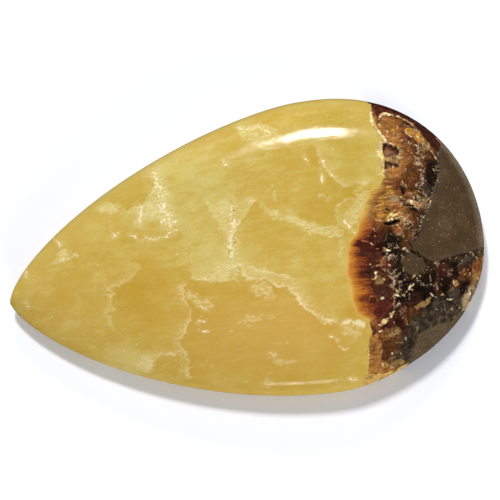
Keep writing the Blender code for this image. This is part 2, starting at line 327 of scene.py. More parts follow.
# The band's ground colour blends between spots. A reach is given where it isn't the usual one.
GROUND = {
    "black": (
        (17.2, 4.1), (16.8, 3.1), (11.8, -1.2, 0.5), (12.5, -1.6, 0.4), (12.1, -1.9), (11.5, -2.3),
        (12.1, -2.6), (12.5, -3.2), (12.1, -4.0), (12.0, -4.6, 0.2), (17.5, -4.7), (15.4, -4.9),
        (12.5, -5.1), (17.4, -5.3), (14.7, -5.6, 0.4), (12.1, -5.7), (13.1, -5.7, 0.4),
        (16.6, -5.7), (13.8, -5.8, 0.4), (16.2, -6.2), (15.1, -6.3), (18.5, -6.3), (14.3, -6.4),
        (12.1, -6.5), (12.8, -6.7), (18.0, -6.7), (14.3, -6.8), (17.0, -7.0), (14.9, -7.2),
        (11.8, -7.5),
    ),
    "plum": (
        (16.4, 8.0), (16.6, 5.8), (15.1, 2.9, 0.4), (14.9, 0.5), (11.1, -1.2), (10.5, -2.5),
        (11.7, -2.8), (11.7, -3.4), (10.1, -3.6), (10.6, -3.6), (11.4, -3.9), (11.5, -4.7),
        (16.0, -4.7, 0.4), (10.7, -4.8), (19.1, -5.2), (10.2, -5.3), (16.9, -5.3),
        (10.9, -5.5, 0.4), (15.5, -6.1), (13.6, -6.5), (13.7, -7.3), (12.4, -7.6), (12.0, -8.2),
        (11.1, -8.4), (12.1, -8.6), (12.1, -9.1),
    ),
    "dark_wine": (
        (10.7, -0.6), (11.3, -0.6), (11.0, -1.8), (10.8, -3.1), (11.6, -6.7), (11.6, -8.2),
    ),
    "soot": (
        (16.2, 2.2), (19.5, -4.2), (18.5, -4.3), (15.3, -7.5), (15.8, -7.9, 0.4), (17.4, -8.0),
        (14.6, -8.3, 0.5), (16.5, -8.6), (13.4, -8.8, 0.4), (12.8, -9.7), (12.1, -10.1),
        (12.4, -10.6, 0.4), (11.9, -11.2), (13.0, -11.2), (12.7, -11.4),
    ),
    "umber": (
        (15.3, 9.2), (16.4, 6.8), (16.0, 6.2), (16.9, 5.3), (17.4, 4.9), (16.4, 4.5), (15.9, 3.7),
        (13.8, 3.0), (14.3, 3.0), (13.8, 1.6), (10.8, 0.6), (14.4, 0.5), (10.8, 0.0), (14.1, -0.1),
        (11.6, -0.6), (14.1, -0.8), (13.5, -1.3), (14.0, -1.4), (13.2, -1.9), (10.6, -4.1, 0.2),
        (10.9, -4.4), (18.3, -5.1), (18.6, -5.7), (11.5, -5.8), (17.5, -6.0), (17.6, -6.2),
        (12.9, -7.7), (12.4, -8.1), (11.6, -9.6), (11.9, -10.4), (10.8, -10.5, 0.4),
    ),
    "wine": (
        (14.7, 9.8), (9.9, -1.2), (10.4, -1.7), (12.4, -7.0), (10.5, -7.1, 0.5), (11.3, -7.9),
        (10.5, -8.1), (9.6, -8.7),
    ),
    "rust": (
        (15.2, 8.2, 0.4), (15.6, 7.6), (15.4, 6.7), (15.2, 6.0), (15.2, 5.6), (13.4, 4.9),
        (15.4, 4.7), (14.0, 3.8), (14.8, 3.8, 0.4), (13.2, 3.3), (13.6, 2.2), (14.4, 1.8),
        (13.2, 1.1), (11.3, -0.1), (13.3, -0.3), (13.0, -0.6), (12.7, -0.7), (11.0, -3.1),
        (9.7, -6.1), (9.8, -8.2), (10.5, -9.2),
    ),
    "bronze": (
        (14.2, 8.4, 0.4), (16.1, 7.4), (14.2, 7.3), (14.7, 6.7, 0.4), (14.7, 4.9), (12.7, 3.4),
        (12.5, 1.9), (15.1, 1.9), (11.5, 1.1), (13.7, 0.7), (19.9, -5.1), (9.2, -9.2), (9.8, -9.3),
        (9.6, -11.8, 0.4), (10.5, -12.0),
    ),
    "ochre": (
        (14.6, 7.8), (17.0, 6.5), (12.5, 2.8), (11.8, 2.6, 0.4), (11.1, 1.8, 0.4), (11.2, 0.8),
        (12.8, 0.4), (9.7, -10.1),
    ),
    "olive": (
        (14.7, 6.0), (12.9, 4.3, 0.4), (15.3, 1.4), (10.7, -4.7), (19.5, -6.2), (11.7, -9.1),
        (11.2, -9.2), (12.1, -11.8), (11.2, -11.9),
    ),
    "tan": (
        (17.3, 5.8, 0.2), (14.3, 5.4), (13.6, 5.2), (13.7, 4.3), (12.9, 2.0), (14.9, 1.2),
        (13.7, 0.5, 0.2), (13.7, -0.1),
    ),
    "peach": (
        (9.3, -6.5), (9.1, -10.3), (9.9, -10.9),
    ),
    "ash": (
        (19.6, -7.0), (19.0, -7.1), (18.7, -7.7),
    ),
}

# Marks in the band, painted in this order: closed outlines, then lines, with their breadth.
FILLS = (
    ("wine", ((14.0, 10.0), (14.9, 9.6), (14.5, 9.3), (14.0, 9.1), (13.6, 8.9), (13.7, 9.3))),
    ("plum", (
        (15.0, 11.6), (16.2, 10.8), (17.3, 9.8), (18.3, 8.8), (19.1, 7.6), (19.4, 6.4), (18.9, 5.4),
        (18.1, 5.3), (17.7, 5.9), (17.2, 7.0), (16.7, 7.8), (16.1, 8.7), (15.4, 9.2), (14.8, 9.5),
    )),
    ("bronze", (
        (13.6, 8.4), (14.1, 8.7), (14.6, 8.6), (15.1, 8.4), (15.2, 8.0), (14.6, 7.7), (14.1, 7.8),
        (13.7, 8.0),
    )),
    ("ochre", ((15.9, 7.5), (16.3, 7.6), (16.7, 7.3), (16.6, 7.0), (16.1, 6.9), (15.7, 7.1))),
    ("wine", ((15.57, 6.91), (15.95, 6.91), (16.13, 6.68), (15.91, 6.51), (15.53, 6.64))),
    ("ochre", ((16.4, 6.7), (16.8, 7.0), (17.2, 6.8), (17.4, 6.5), (16.9, 6.2), (16.5, 6.4))),
    ("olive", ((16.58, 5.92), (17.13, 5.94), (17.35, 5.7), (17.0, 5.4), (16.51, 5.47))),
    ("bronze", (
        (12.9, 4.5), (13.2, 4.6), (13.8, 4.5), (14.3, 4.3), (14.3, 3.9), (14.0, 3.7), (13.4, 3.8),
        (12.8, 4.0),
    )),
    ("umber", (
        (14.8, 4.5), (15.3, 4.6), (15.8, 4.2), (15.7, 3.4), (15.2, 2.6), (14.9, 2.1), (14.5, 2.3),
        (14.4, 3.0), (14.5, 3.7),
    )),
    ("black", ((13.83, 3.07), (14.06, 2.75), (14.12, 2.33), (13.87, 2.11), (13.81, 2.55))),
    ("black", ((12.0, 1.5), (12.3, 1.2), (12.6, 1.0), (12.4, 0.9), (12.2, 1.1), (12.1, 1.2))),
    ("black", ((13.8, 1.4), (14.3, 1.3), (14.7, 1.1), (14.9, 0.8), (14.4, 1.0), (13.9, 1.2))),
    ("black", ((14.2, 1.0), (14.6, 0.9), (14.9, 0.6), (15.0, 0.4), (14.5, 0.6), (14.1, 0.8))),
    ("cream", ((14.28, 1.43), (14.51, 1.64), (14.73, 1.1), (14.41, 1.28))),
    ("black", ((12.37, 0.26), (12.75, 0.27), (13.09, 0.1), (12.8, 0.0), (12.46, 0.1))),
    ("black", ((11.65, 0.16), (12.08, 0.04), (12.5, -0.06), (12.31, -0.18), (11.89, -0.07))),
    ("dark_wine", ((9.1, -1.0), (9.6, -1.1), (10.3, -1.4), (10.3, -1.7), (9.8, -1.5), (9.4, -1.3))),
    ("plum", ((9.35, -1.54), (10.0, -1.59), (10.13, -2.01), (9.87, -2.37), (9.28, -2.24))),
    ("olive", ((10.1, -4.6), (10.3, -4.2), (10.7, -4.2), (10.9, -4.6), (10.7, -4.9), (10.3, -4.9))),
    ("plum", (
        (9.9, -4.9), (10.5, -4.9), (11.2, -5.1), (11.5, -5.5), (11.3, -5.9), (10.7, -6.0),
        (10.3, -5.7), (9.9, -5.6),
    )),
    ("wine", ((9.53, -5.8), (10.12, -5.92), (10.08, -6.4), (9.39, -6.29))),
    ("wine", (
        (9.8, -6.8), (10.2, -6.4), (10.8, -6.3), (11.3, -6.5), (11.3, -7.1), (11.0, -7.4),
        (10.6, -7.7), (10.1, -7.7), (9.7, -7.3),
    )),
    ("cream", ((10.36, -5.86), (10.64, -5.96), (10.71, -6.11), (10.52, -6.39), (10.4, -6.17))),
    ("straw", (
        (9.95, -8.25), (10.4, -8.0), (11.0, -7.75), (11.45, -7.3), (11.7, -7.25), (11.5, -7.6),
        (11.2, -7.9), (10.8, -8.15), (10.35, -8.45),
    )),
    ("olive", ((13.4, -7.3), (14.2, -7.0), (14.9, -6.8), (14.9, -7.2), (14.2, -7.5), (13.6, -7.6))),
    ("soot", (
        (16.6, -6.7), (17.1, -6.4), (17.8, -6.6), (18.0, -7.2), (17.7, -7.7), (17.2, -7.7),
        (16.7, -7.2),
    )),
    ("olive", ((17.22, -5.83), (17.72, -5.88), (17.76, -6.26), (17.41, -6.28), (17.24, -6.04))),
    ("tan", ((15.92, -6.36), (16.25, -6.85), (15.95, -6.78))),
    ("rust", ((19.5, -4.7), (20.0, -4.6), (20.5, -4.9), (20.3, -5.5), (19.8, -5.6), (19.4, -5.1))),
    ("bronze", (
        (9.2, -9.2), (9.6, -9.1), (10.2, -9.6), (10.0, -10.1), (10.2, -10.6), (10.2, -11.4),
        (10.6, -11.7), (11.0, -12.0), (11.9, -12.2), (11.1, -12.5), (9.7, -12.4), (9.3, -12.3),
        (9.1, -11.0), (9.1, -10.2),
    )),
    ("honey", (
        (9.0, -12.2), (9.9, -12.4), (11.0, -12.55), (11.9, -12.4), (12.6, -12.1), (13.0, -12.0),
        (13.3, -12.8), (12.0, -13.8), (10.0, -14.0), (8.8, -14.0),
    )),
    ("umber", (
        (10.4, -9.7), (10.9, -9.8), (11.4, -10.1), (11.5, -10.5), (11.0, -10.8), (10.9, -11.4),
        (10.5, -11.5), (10.2, -11.1), (10.4, -10.4),
    )),
    ("cream", ((17.53, -7.93), (17.97, -8.07), (18.47, -7.91), (18.34, -8.23), (17.88, -8.25))),
    ("cream", ((18.36, -7.05), (19.02, -7.12), (19.15, -7.28), (18.4, -7.23))),
)
LINES = (
    ("cream", 0.04, (
        ((17.5, 5.8), (17.7, 5.3), (17.9, 4.6)), ((13.6, 2.05), (13.91, 1.75), (14.19, 1.51)),
        ((14.64, 1.01), (14.98, 0.77)),
        ((12.8, -0.17), (13.11, -0.68), (13.22, -1.02), (13.19, -1.38)),
        ((10.68, -1.91), (10.88, -1.93)), ((10.93, -4.46), (10.96, -4.62)),
        ((11.53, -3.41), (11.64, -3.51)), ((13.1, -5.75), (13.32, -5.9)),
        ((11.43, -8.25), (11.45, -8.36)), ((9.13, -10.21), (9.14, -10.7), (9.12, -11.29)),
        ((17.27, -5.72), (17.24, -6.04), (17.43, -6.29), (17.79, -6.13)),
    )),
    ("cream", 0.06, (
        ((15.24, 7.92), (15.18, 7.75)), ((10.76, -0.63), (10.77, -0.8)),
        ((12.73, -5.96), (13.0, -5.77), (13.15, -5.6), (13.2, -5.35)),
        ((10.1, -8.85), (10.32, -8.8)), ((11.31, -9.19), (11.45, -9.3)),
        ((14.96, -6.44), (15.14, -6.7), (15.5, -6.89)), ((17.07, -5.09), (17.12, -5.18)),
        ((16.5, -7.23), (16.79, -7.35), (17.1, -7.33)), ((19.86, -4.23), (20.09, -4.31)),
    )),
    ("tan", 0.04, (
        ((10.78, 1.39), (11.44, 1.59), (12.09, 1.79)), ((10.49, -2.87), (10.76, -2.91)),
        ((10.84, -2.92), (10.95, -3.3)), ((9.82, -5.17), (9.77, -5.58)),
        ((9.45, -7.14), (9.47, -7.74), (9.58, -8.16)),
        ((17.92, -5.23), (18.29, -5.19), (18.49, -5.07)),
        ((18.52, -7.3), (18.45, -7.66), (18.58, -7.9)),
    )),
    ("ash", 0.07, (
        ((12.77, -3.8), (12.71, -4.27)), ((13.55, -9.1), (13.57, -9.47)),
        ((12.46, -9.73), (12.49, -9.97)), ((16.97, -8.17), (17.26, -8.38)),
        ((15.42, -7.93), (15.57, -7.97)), ((14.11, -5.43), (14.15, -5.57)),
    )),
    ("cream", 0.08, (
        ((11.34, -1.96), (11.55, -2.14), (11.82, -2.27)), ((10.79, -0.24), (10.82, -0.44)),
        ((11.77, -4.84), (11.81, -5.07)), ((11.21, -10.79), (11.3, -10.94)),
        ((10.42, -11.54), (10.51, -11.71)),
    )),
    ("ash", 0.04, (
        ((11.7, -2.0), (11.98, -1.8)), ((13.25, -11.35), (13.41, -11.64)),
        ((16.21, -7.62), (16.24, -7.96), (16.36, -8.28)),
        ((17.28, -4.24), (17.7, -4.21), (17.75, -4.43)),
        ((17.83, -4.65), (18.05, -4.49), (18.35, -4.47)), ((15.79, -4.83), (15.78, -5.06)),
    )),
    ("cream", 0.07, (
        ((14.62, 6.15), (14.74, 5.86)), ((11.56, -2.81), (11.61, -3.01)),
        ((9.95, -3.08), (10.02, -3.16)), ((17.82, -5.66), (17.96, -5.73)),
        ((19.05, -5.47), (19.07, -5.62)),
    )),
    ("ash", 0.05, (
        ((11.84, -3.93), (11.95, -4.13), (11.74, -4.25)), ((11.39, -9.52), (11.82, -9.64)),
        ((12.04, -10.92), (12.09, -11.11)), ((14.53, -8.34), (14.61, -8.41)),
        ((16.34, -4.68), (16.5, -4.76)),
    )),
    ("tan", 0.05, (
        ((17.1, 6.8), (17.3, 6.2)), ((12.47, -8.05), (12.66, -8.69)),
        ((10.09, -9.63), (10.28, -10.23), (10.28, -10.74), (10.18, -11.22), (10.09, -11.6)),
        ((9.3, -8.96), (9.2, -9.53), (9.14, -10.1)),
    )),
    ("cream", 0.05, (
        ((12.78, -0.95), (12.9, -1.11)), ((13.05, -5.6), (13.3, -5.55), (13.5, -5.4)),
        ((14.99, -5.7), (15.2, -5.77), (15.61, -6.03), (15.62, -6.23)),
        ((17.11, -6.39), (17.23, -6.32)),
    )),
    ("ash", 0.04, (
        ((16.6, -6.65), (16.93, -6.5), (17.24, -6.47)), ((15.05, -5.02), (15.08, -5.45)),
    )),
    ("tan", 0.06, (
        ((12.47, -7.89), (12.71, -7.85)), ((18.47, -5.49), (18.68, -5.44)),
    )),
    ("ash", 0.06, (
        ((12.2, -2.18), (12.55, -2.12), (12.79, -2.2)), ((11.53, -10.05), (12.14, -10.1)),
    )),
    ("cream", 0.04, (
        ((12.87, -2.41), (13.17, -2.25), (13.3, -2.41), (13.45, -2.71)),
        ((11.69, -4.68), (11.86, -4.47), (12.25, -4.47)),
    )),
    ("ash", 0.03, (
        ((12.56, -1.63), (12.43, -2.01)), ((15.9, -7.78), (15.96, -8.21)),
    )),
    ("tan", 0.04, (
        ((10.04, -3.35), (10.5, -3.31), (10.93, -3.33)), ((11.14, -11.15), (10.96, -11.46)),
    )),
    ("cream", 0.03, (
        ((11.69, -5.17), (11.64, -5.5)), ((13.01, -6.14), (12.96, -6.61)),
    )),
    ("tan", 0.07, (
        ((11.85, -5.59), (11.87, -5.78)), ((10.68, -11.74), (11.3, -12.02), (11.86, -12.25)),
    )),
    ("dark_wine", 0.28, (((13.9, 10.3), (14.6, 10.0), (15.2, 9.7), (15.7, 9.3), (16.2, 9.0)),)),
    ("cream", 0.08, (
        ((13.48, 8.49), (13.66, 8.28)), ((11.67, -6.0), (11.96, -6.11), (12.16, -6.24)),
    )),
    ("straw", 0.24, (
        ((13.6, 6.9), (13.1, 6.8), (12.9, 6.3), (12.8, 5.8), (12.9, 5.4), (12.7, 4.7), (12.5, 4.1)),
    )),
    ("cream", 0.16, (
        ((13.4, 9.6), (13.2, 9.0), (13.0, 8.5), (13.1, 8.0), (13.3, 7.7), (13.5, 7.3), (13.6, 6.8)),
    )),
    ("cream", 0.10, (
        (
            (13.8, 8.8), (14.05, 9.01), (14.34, 9.14), (14.67, 9.22), (14.86, 9.06), (15.27, 8.96),
            (15.58, 8.78), (15.94, 8.63),
        ),
    )),
    ("tan", 0.10, (((15.89, 8.61), (16.39, 8.31), (16.72, 7.92), (17.02, 7.52), (17.24, 7.08)),)),
    ("cream", 0.06, (
        ((13.67, 6.81), (13.98, 6.66), (14.29, 6.37)),
        ((15.86, 7.46), (15.77, 7.22), (15.9, 7.02), (16.16, 6.82)), ((16.7, 6.74), (16.9, 6.62)),
    )),
    ("tan", 0.12, (((13.03, 5.29), (13.31, 5.36), (13.69, 5.21), (14.1, 4.96)),)),
    ("cream", 0.04, (((12.78, 4.44), (12.68, 3.98)),)),
    ("cream", 0.05, (((13.71, 4.76), (13.71, 4.61)),)),
    ("tan", 0.08, (((14.14, 3.27), (14.16, 3.0)),)),
    ("ash", 0.04, (((14.38, 3.16), (14.33, 2.78), (14.43, 2.45)),)),
    ("straw", 0.07, (((11.95, 0.35), (12.48, 0.72), (12.92, 1.0)),)),
    ("cream", 0.10, (((12.15, 0.25), (12.7, 0.5), (13.2, 0.75)),)),
    ("cream", 0.08, (((12.5, 0.25), (13.0, 0.35), (13.48, 0.35)),)),
    ("tan", 0.06, (((10.5, 1.0), (10.89, 0.72), (11.25, 0.39), (11.77, 0.22)),)),
    ("ash", 0.09, (((12.52, 2.18), (13.1, 1.86), (13.63, 1.42)),)),
    ("peach", 0.03, (((9.43, -0.99), (9.86, -1.1), (10.15, -1.25)),)),
    ("cream", 0.04, (((10.32, -1.37), (10.45, -1.56)),)),
    ("peach", 0.04, (((9.17, -3.43), (9.88, -3.43)),)),
    ("cream", 0.06, (((10.54, -3.83), (10.28, -3.81), (10.28, -4.09), (10.15, -4.36)),)),
    ("tan", 0.04, (((9.87, -4.34), (10.23, -4.43)),)),
    ("ash", 0.05, (((12.68, -2.88), (12.8, -3.18), (12.81, -3.43)),)),
    ("olive", 0.08, (((11.63, -6.26), (11.54, -6.69), (11.54, -7.11), (11.56, -7.44)),)),
    ("tan", 0.03, (((11.99, -6.91), (12.32, -7.27)),)),
    ("umber", 0.09, (((10.3, -8.22), (10.48, -8.3)),)),
    ("umber", 0.07, (((10.86, -7.94), (11.0, -8.02)),)),
    ("umber", 0.05, (((11.33, -7.52), (11.44, -7.6)),)),
    ("ash", 0.06, (((12.12, -11.83), (12.38, -11.95)),)),
    ("ash", 0.04, (((12.0, -7.43), (12.25, -7.72), (12.27, -8.07)),)),
    ("rust", 0.05, (((11.87, -6.99), (11.77, -7.46), (11.59, -7.95)),)),
)

# Where light catches splinters between the crystals: centre, radii, turn and value.
SPARKLE = (
    ((11.8, -2.8), (1.5, 2.6), 0, 0.15),
    ((11.9, -5.2), (1.7, 1.6), 0, 0.08),
    ((14.4, 1.2), (1.7, 1.8), 20, 0.18),
    ((16.6, 5.8), (1.1, 2.6), -10, 0.24),
    ((14.9, 6.9), (1.5, 1.5), 0, 0.09),
    ((15.3, 3.6), (1.2, 1.6), 0, 0.10),
    ((17.3, -5.6), (2.6, 1.3), 0, 0.12),
    ((12.0, -7.0), (1.5, 1.6), 0, 0.12),
    ((14.0, -8.6), (2.6, 1.1), 20, -0.20),
)

# Where the crystals are crushed, apart from beside the mudstone.
CRUSHED = (
    ((15.6, 1.8), (1.1, 0.9), 40, 0.60),
    ((17.2, 4.8), (0.4, 1.8), -10, 0.40),
    ((13.9, -0.6), (0.7, 1.1), 25, 0.60),
    ((12.3, -2.4), (0.8, 1.0), 0, 0.40),
    ((13.2, -5.3), (1.8, 0.5), 10, 0.40),
)

# Where the crystals are drawn out into a slanting fan, and where splinters take their place.
FAN = (((12.2, 2.4), (2.3, 1.9), -30, 1.3), ((15.2, 6.3), (1.8, 2.8), 10, 0.75))
FAN_TURN = 36.7  # degrees
HEART = (((11.9, -3.2), (1.7, 2.9), 0, 1.0), ((16.5, -5.2), (2.6, 1.0), 10, 0.6))

# Open pits: depth and outline.
PITS = {
    "round_pit": (0.45, (
        (13.1, 6.4), (13.3, 6.6), (13.6, 6.7), (13.8, 6.8), (14.0, 6.7), (14.0, 6.5),
        (14.3, 6.3), (14.5, 6.2), (14.5, 5.9), (14.6, 5.8), (14.5, 5.6), (14.3, 5.5),
        (13.9, 5.6), (13.5, 5.5), (13.3, 5.6), (13.1, 5.9), (13.0, 6.2),
    )),
    "small_pit": (0.30, (
        (13.0, 5.2), (13.4, 5.1), (13.7, 4.9), (14.1, 4.8), (14.2, 4.5), (13.9, 4.5),
        (13.4, 4.6), (13.1, 4.5), (12.9, 4.5), (12.8, 4.7), (13.0, 4.9),
    )),
    "gash": (0.50, (
        (11.6, 0.3), (11.9, 0.1), (12.5, 0.2), (12.9, 0.3), (13.2, 0.1), (13.2, -0.1),
        (12.8, -0.2), (12.2, -0.2), (11.8, -0.1),
    )),
}

# The fibres beside the calcite, by place across the stone: length, and how dark they get.
FIBRES = (
    (-14.0, 0.08, 0.50), (-7.9, 0.08, 0.50), (-7.4, 0.90, 0.80), (-6.8, 1.10, 1.00),
    (-6.7, 1.60, 1.00), (-6.15, 1.7, 1.00), (-6.1, 1.50, 1.05), (-5.6, 1.50, 1.05),
    (-5.5, 1.95, 1.00), (-4.2, 1.95, 1.00), (-4.1, 1.70, 1.10), (-3.1, 1.70, 1.10),
    (-3.0, 2.00, 1.00), (-2.3, 2.00, 0.95), (-2.2, 1.50, 1.05), (-1.5, 1.50, 1.00),
    (-1.4, 0.80, 1.20), (-0.9, 0.80, 1.20), (-0.8, 1.10, 1.00), (-0.1, 1.20, 0.95),
    (0.0, 1.25, 0.90), (0.9, 1.30, 0.72), (2.0, 1.00, 0.45), (3.6, 0.70, 0.40),
    (4.3, 0.06, 0.40), (14.0, 0.06, 0.40),
)
FIBRE_LEAN = 0.186  # how far the fibres run across the stone for each step along it
FIBRE_START = 9.0  # where the places across the stone are read

# The crystals' relief, in millimetres.
CRYSTAL_GAP = 0.40  # least spacing of the crystals
CRYSTAL_ODDS = 0.26  # higher makes their sizes more unlike
CRYSTAL_WOBBLE = 0.16  # how far their borders sway
CRYSTAL_HALF = 0.20  # a crystal slopes over this distance from its middle
CRYSTAL_SEED = 7
FACE_DROP = 0.06  # how far the lowest crystals lie below the polish
GROOVE_DEPTH = 0.03
GROOVE_WIDTH = 0.10
CRUSHED_DROP = 0.07
CRUSHED_REACH = 0.45  # from the mudstone
FIBRE_DROP = 0.02
BORDER_FADE = 0.20  # the relief dies away over this distance at the band's border
GIRDLE_FADE = 0.30
WHOLE_RIM = 0.30  # a mark counts as this far from a crystal's border
BAND_REACH = 0.5  # the band is worked out this far into the calcite
ROCK_REACH = 0.3  # and this far into the mudstone
WAVE_SIZES = (0.5, 0.2, 0.12)  # coarse, fine and grain
PIT_WALL = 0.30
PIT_SHADE = 0.13  # width of the painted shade round the edge of a pit's floor
PIT_EDGE = 0.05
PIT_FULL = 0.15  # deeper than this is a pit's own colour and dullness
POINTS_TRIED = 9000  # as middles of crystals
POINTS_AT_ONCE = 4000  # keeps the memory small
NEIGHBOURS = 6  # crystals compared at each point, its own among them
LEAST_GAP = 0.001

# How the marks are drawn, in millimetres.
TAPER = 0.7  # a veil or a line fades out over this distance at its ends
LEVEL_GAP = 1e-6  # two stretches of a line that differ less are as near
MARK_MARGIN = 0.4  # a mark is worked out this far round
MARK_EDGE = 0.07  # softness of a mark's border
WHOLE_BREADTH = 0.12  # broader lines are torn less for their breadth
SPOT_REACH = 0.3
FLECK_REACH = 4.0  # farther from a white line counts the same, in halves of its width
OUTSIDE = -2.0  # farther outside a patch counts the same

# The materials.
VEIL_FIELDS = ("side", "amber", "pale", "crest")
VECTORS = ("Place", "Drawn")  # inputs that hold a place
GRAIN_TURN = 10.5  # degrees
DULL_GLASS = (0.62, 0.53, 0.46)
BRIGHT_GLASS = (1.40, 1.36, 1.20)
POLISHED = 0.06  # roughness of the polish
MATT = 0.60  # and of the open pits
PORE_DEPTH = 0.000012
GLOW_DEPTH = 0.0003
TINTS = {
    "warm": (204, 165, 92),
    "cool_cast": (247, 252, 250),
    "frost": (232, 218, 172),
    "crack": (140, 104, 52),
    # White crushed lines, and sparks painted as glints.
    "white_and_glint": (236, 226, 190),
    # Painted shade on the far rim, then painted light on the near rim.
    "far_rim_shade": (178, 156, 88),
    "near_rim_light": (236, 214, 136),
    "gap_cast": (186, 176, 168),
    "crumbly": (112, 84, 54),
    "warm_gleam": (168, 122, 86),
    "pale_gleam": (228, 206, 172),
    "soil": (20, 14, 11),
    "peat": (36, 26, 18),
    "bark": (78, 56, 34),
    "leather": (122, 90, 54),
    "sand": (186, 156, 108),
    "bone": (226, 206, 164),
    "gold": (204, 170, 88),
    "brass": (184, 138, 66),
    "copper": (146, 98, 52),
    "chestnut": (104, 64, 40),
    "dark_mud": (52, 42, 30),
    "pale_mud": (122, 100, 74),
    "mud_speck": (146, 124, 92),
    # Painted sheen on the mudstone's rim, and its paler lens.
    "rim_sheen_and_lens": (176, 162, 134),
}
CRUMBS = (
    (0.0, "soil"), (0.62, "peat"), (0.80, "bark"), (0.90, "leather"), (0.96, "sand"), (1.0, "bone"),
)
GOLDEN_FIBRES = ((0.0, "gold"), (0.30, "brass"), (0.70, "copper"), (1.0, "chestnut"))

# The stage. A panel has its heading, rise, distance, width and height, power, and whether the
# polish mirrors it.
FLOOR_COLOUR = (0.90, 0.92, 0.98, 1.0)
FLOOR_REACH = 1.5
FLOOR_ROUGHNESS = 0.9
FLOOR_GLOSS = 0.1
ROOM_LIGHT = 0.25
AIM_HEIGHT = 0.003  # what the camera aims at, above the back
AIM_RIGHT = 0.000358  # and from there in the picture
AIM_UP = 0.000554
SENSOR = 36.0  # millimetres
NEAREST_SEEN = 0.01
PANELS = {
    "strip": (81.0, 30.8, 0.35, (0.098, 0.040), 0.40, True),
    "glow": (82.0, 29.5, 0.35, (0.21, 0.030), 0.12, True),
    "key": (99.0, 54.0, 0.60, (0.08, 0.08), 2.50, False),
    "front": (-72.0, 20.0, 0.42, (0.40, 0.10), 1.45, False),
    "low_strip": (-96.0, 0.0, 0.35, (0.08, 0.012), 0.040, True),
}


def to_linear(shares):
    """Screen values from 0 to 1, made linear."""
    return np.where(shares <= 0.04045, shares / 12.92, ((shares + 0.055) / 1.055) ** 2.4)


def screen_colour(red, green, blue):
    """A colour as a screen shows it, 0 to 255, made linear."""
    return to_linear(np.array((red, green, blue)) / 255).tolist()


class StoneShape(bpy.types.PropertyGroup):
    """Sizes of the stone, with the outline that the solid has."""

    length: FloatProperty(
        name="Length", description="From the point to the round end",
        default=HIGH.x - LOW.x, unit="LENGTH",
    )
    half_width: FloatProperty(
        name="Half width", description="From the long axis to the widest place",
        default=(HIGH.y - LOW.y) / 2, unit="LENGTH",
    )
    height: FloatProperty(
        name="Height", description="From the flat back to the top of the crown",
        default=HIGH.z, unit="LENGTH",
    )
    belly: FloatProperty(
        name="Belly", description="Distance of the widest place from the point",
        default=0.0262, unit="LENGTH",
    )
    girdle: FloatProperty(
        name="Girdle", description="Height of the upright wall's upper edge",
        default=0.0015, unit="LENGTH",
    )
    face: FloatProperty(
        name="Face", description="Spacing of the mesh's points outside the crystal band",
        default=0.00023, unit="LENGTH",
    )
    halvings: IntProperty(
        name="Halvings", description="How often the faces of the crystal band are halved",
        default=2, min=0, max=3,
    )


class CalciteLook(bpy.types.PropertyGroup):
    """Colours of the cloudy yellow calcite."""

    pale: FloatVectorProperty(
        name="Pale", description="The milkiest calcite", subtype="COLOR",
        default=screen_colour(200, 182, 109),
    )
    honey: FloatVectorProperty(
        name="Honey", description="Calcite between the clouds", subtype="COLOR",
        default=screen_colour(191, 162, 76),
    )
    amber: FloatVectorProperty(
        name="Amber", description="The clearest and deepest calcite", subtype="COLOR",
        default=screen_colour(185, 149, 54),
    )


class BandLook(bpy.types.PropertyGroup):
    """Colours of the crystal band and of the mudstone."""

    calcite_side: FloatVectorProperty(
        name="Calcite side", description="Fibres where they leave the calcite",
        subtype="COLOR", default=screen_colour(206, 166, 84),
    )
    amber: FloatVectorProperty(
        name="Amber", description="Fibres a little way in", subtype="COLOR",
        default=screen_colour(184, 120, 44),
    )
    rust: FloatVectorProperty(
        name="Rust", description="Fibres half-way in", subtype="COLOR",
        default=screen_colour(136, 70, 32),
    )
    burgundy: FloatVectorProperty(
        name="Burgundy", description="The dark ends of the fibres", subtype="COLOR",
        default=screen_colour(68, 28, 23),
    )
    mudstone: FloatVectorProperty(
        name="Mudstone", description="The plain grey-brown rock", subtype="COLOR",
        default=screen_colour(71, 55, 37),
    )


class StageLook(bpy.types.PropertyGroup):
    """The camera's place and lens."""

    azimuth: FloatProperty(
        name="Azimuth", description="Camera's turn about the stone",
        default=math.radians(-10.534), subtype="ANGLE",
    )
    elevation: FloatProperty(
        name="Elevation", description="Camera's height above the horizon",
        default=math.radians(80.0), subtype="ANGLE",
    )
    distance: FloatProperty(
        name="Distance", description="From the camera to the stone",
        default=0.35, unit="LENGTH",
    )
    lens: FloatProperty(
        name="Lens", description="Focal length for a 36 mm sensor",
        default=302.8, unit="CAMERA",
    )


def half_width(shape, along, powers):
    """Half the pear's width at distances from its point."""
    tip_curve, tip_spread, end_curve, end_round = powers
    before = np.clip(1 - along / shape.belly, 0, 1)
    beyond = np.clip((along - shape.belly) / (shape.length - shape.belly), 0, 1)
    tip = (1 - before**tip_curve) ** tip_spread
    end = (1 - beyond**end_curve) ** (1 / end_round)
    return shape.half_width * np.where(along < shape.belly, tip, end)


def contour(shape, share, turns):
    """Points of the contour that lies this share of the way from the top to the outline."""
    along = shape.length * (1 - np.cos(turns)) / 2
    near, far = (half_width(shape, along, side) for side in (NEAR_SIDE, FAR_SIDE))
    width = np.where(turns < np.pi, -near, far)
    ray = np.stack((along - shape.length / 2 - CROWN_AHEAD, width), axis=1)
    reach = np.linalg.norm(ray, axis=1, keepdims=True)
    unit = ray / reach
    core = 1 / np.hypot(unit[:, :1] / CORE_LENGTH, unit[:, 1:] / CORE_WIDTH)
    return np.array((CROWN_AHEAD, 0.0)) + unit * share * (core + (reach - core) * share)


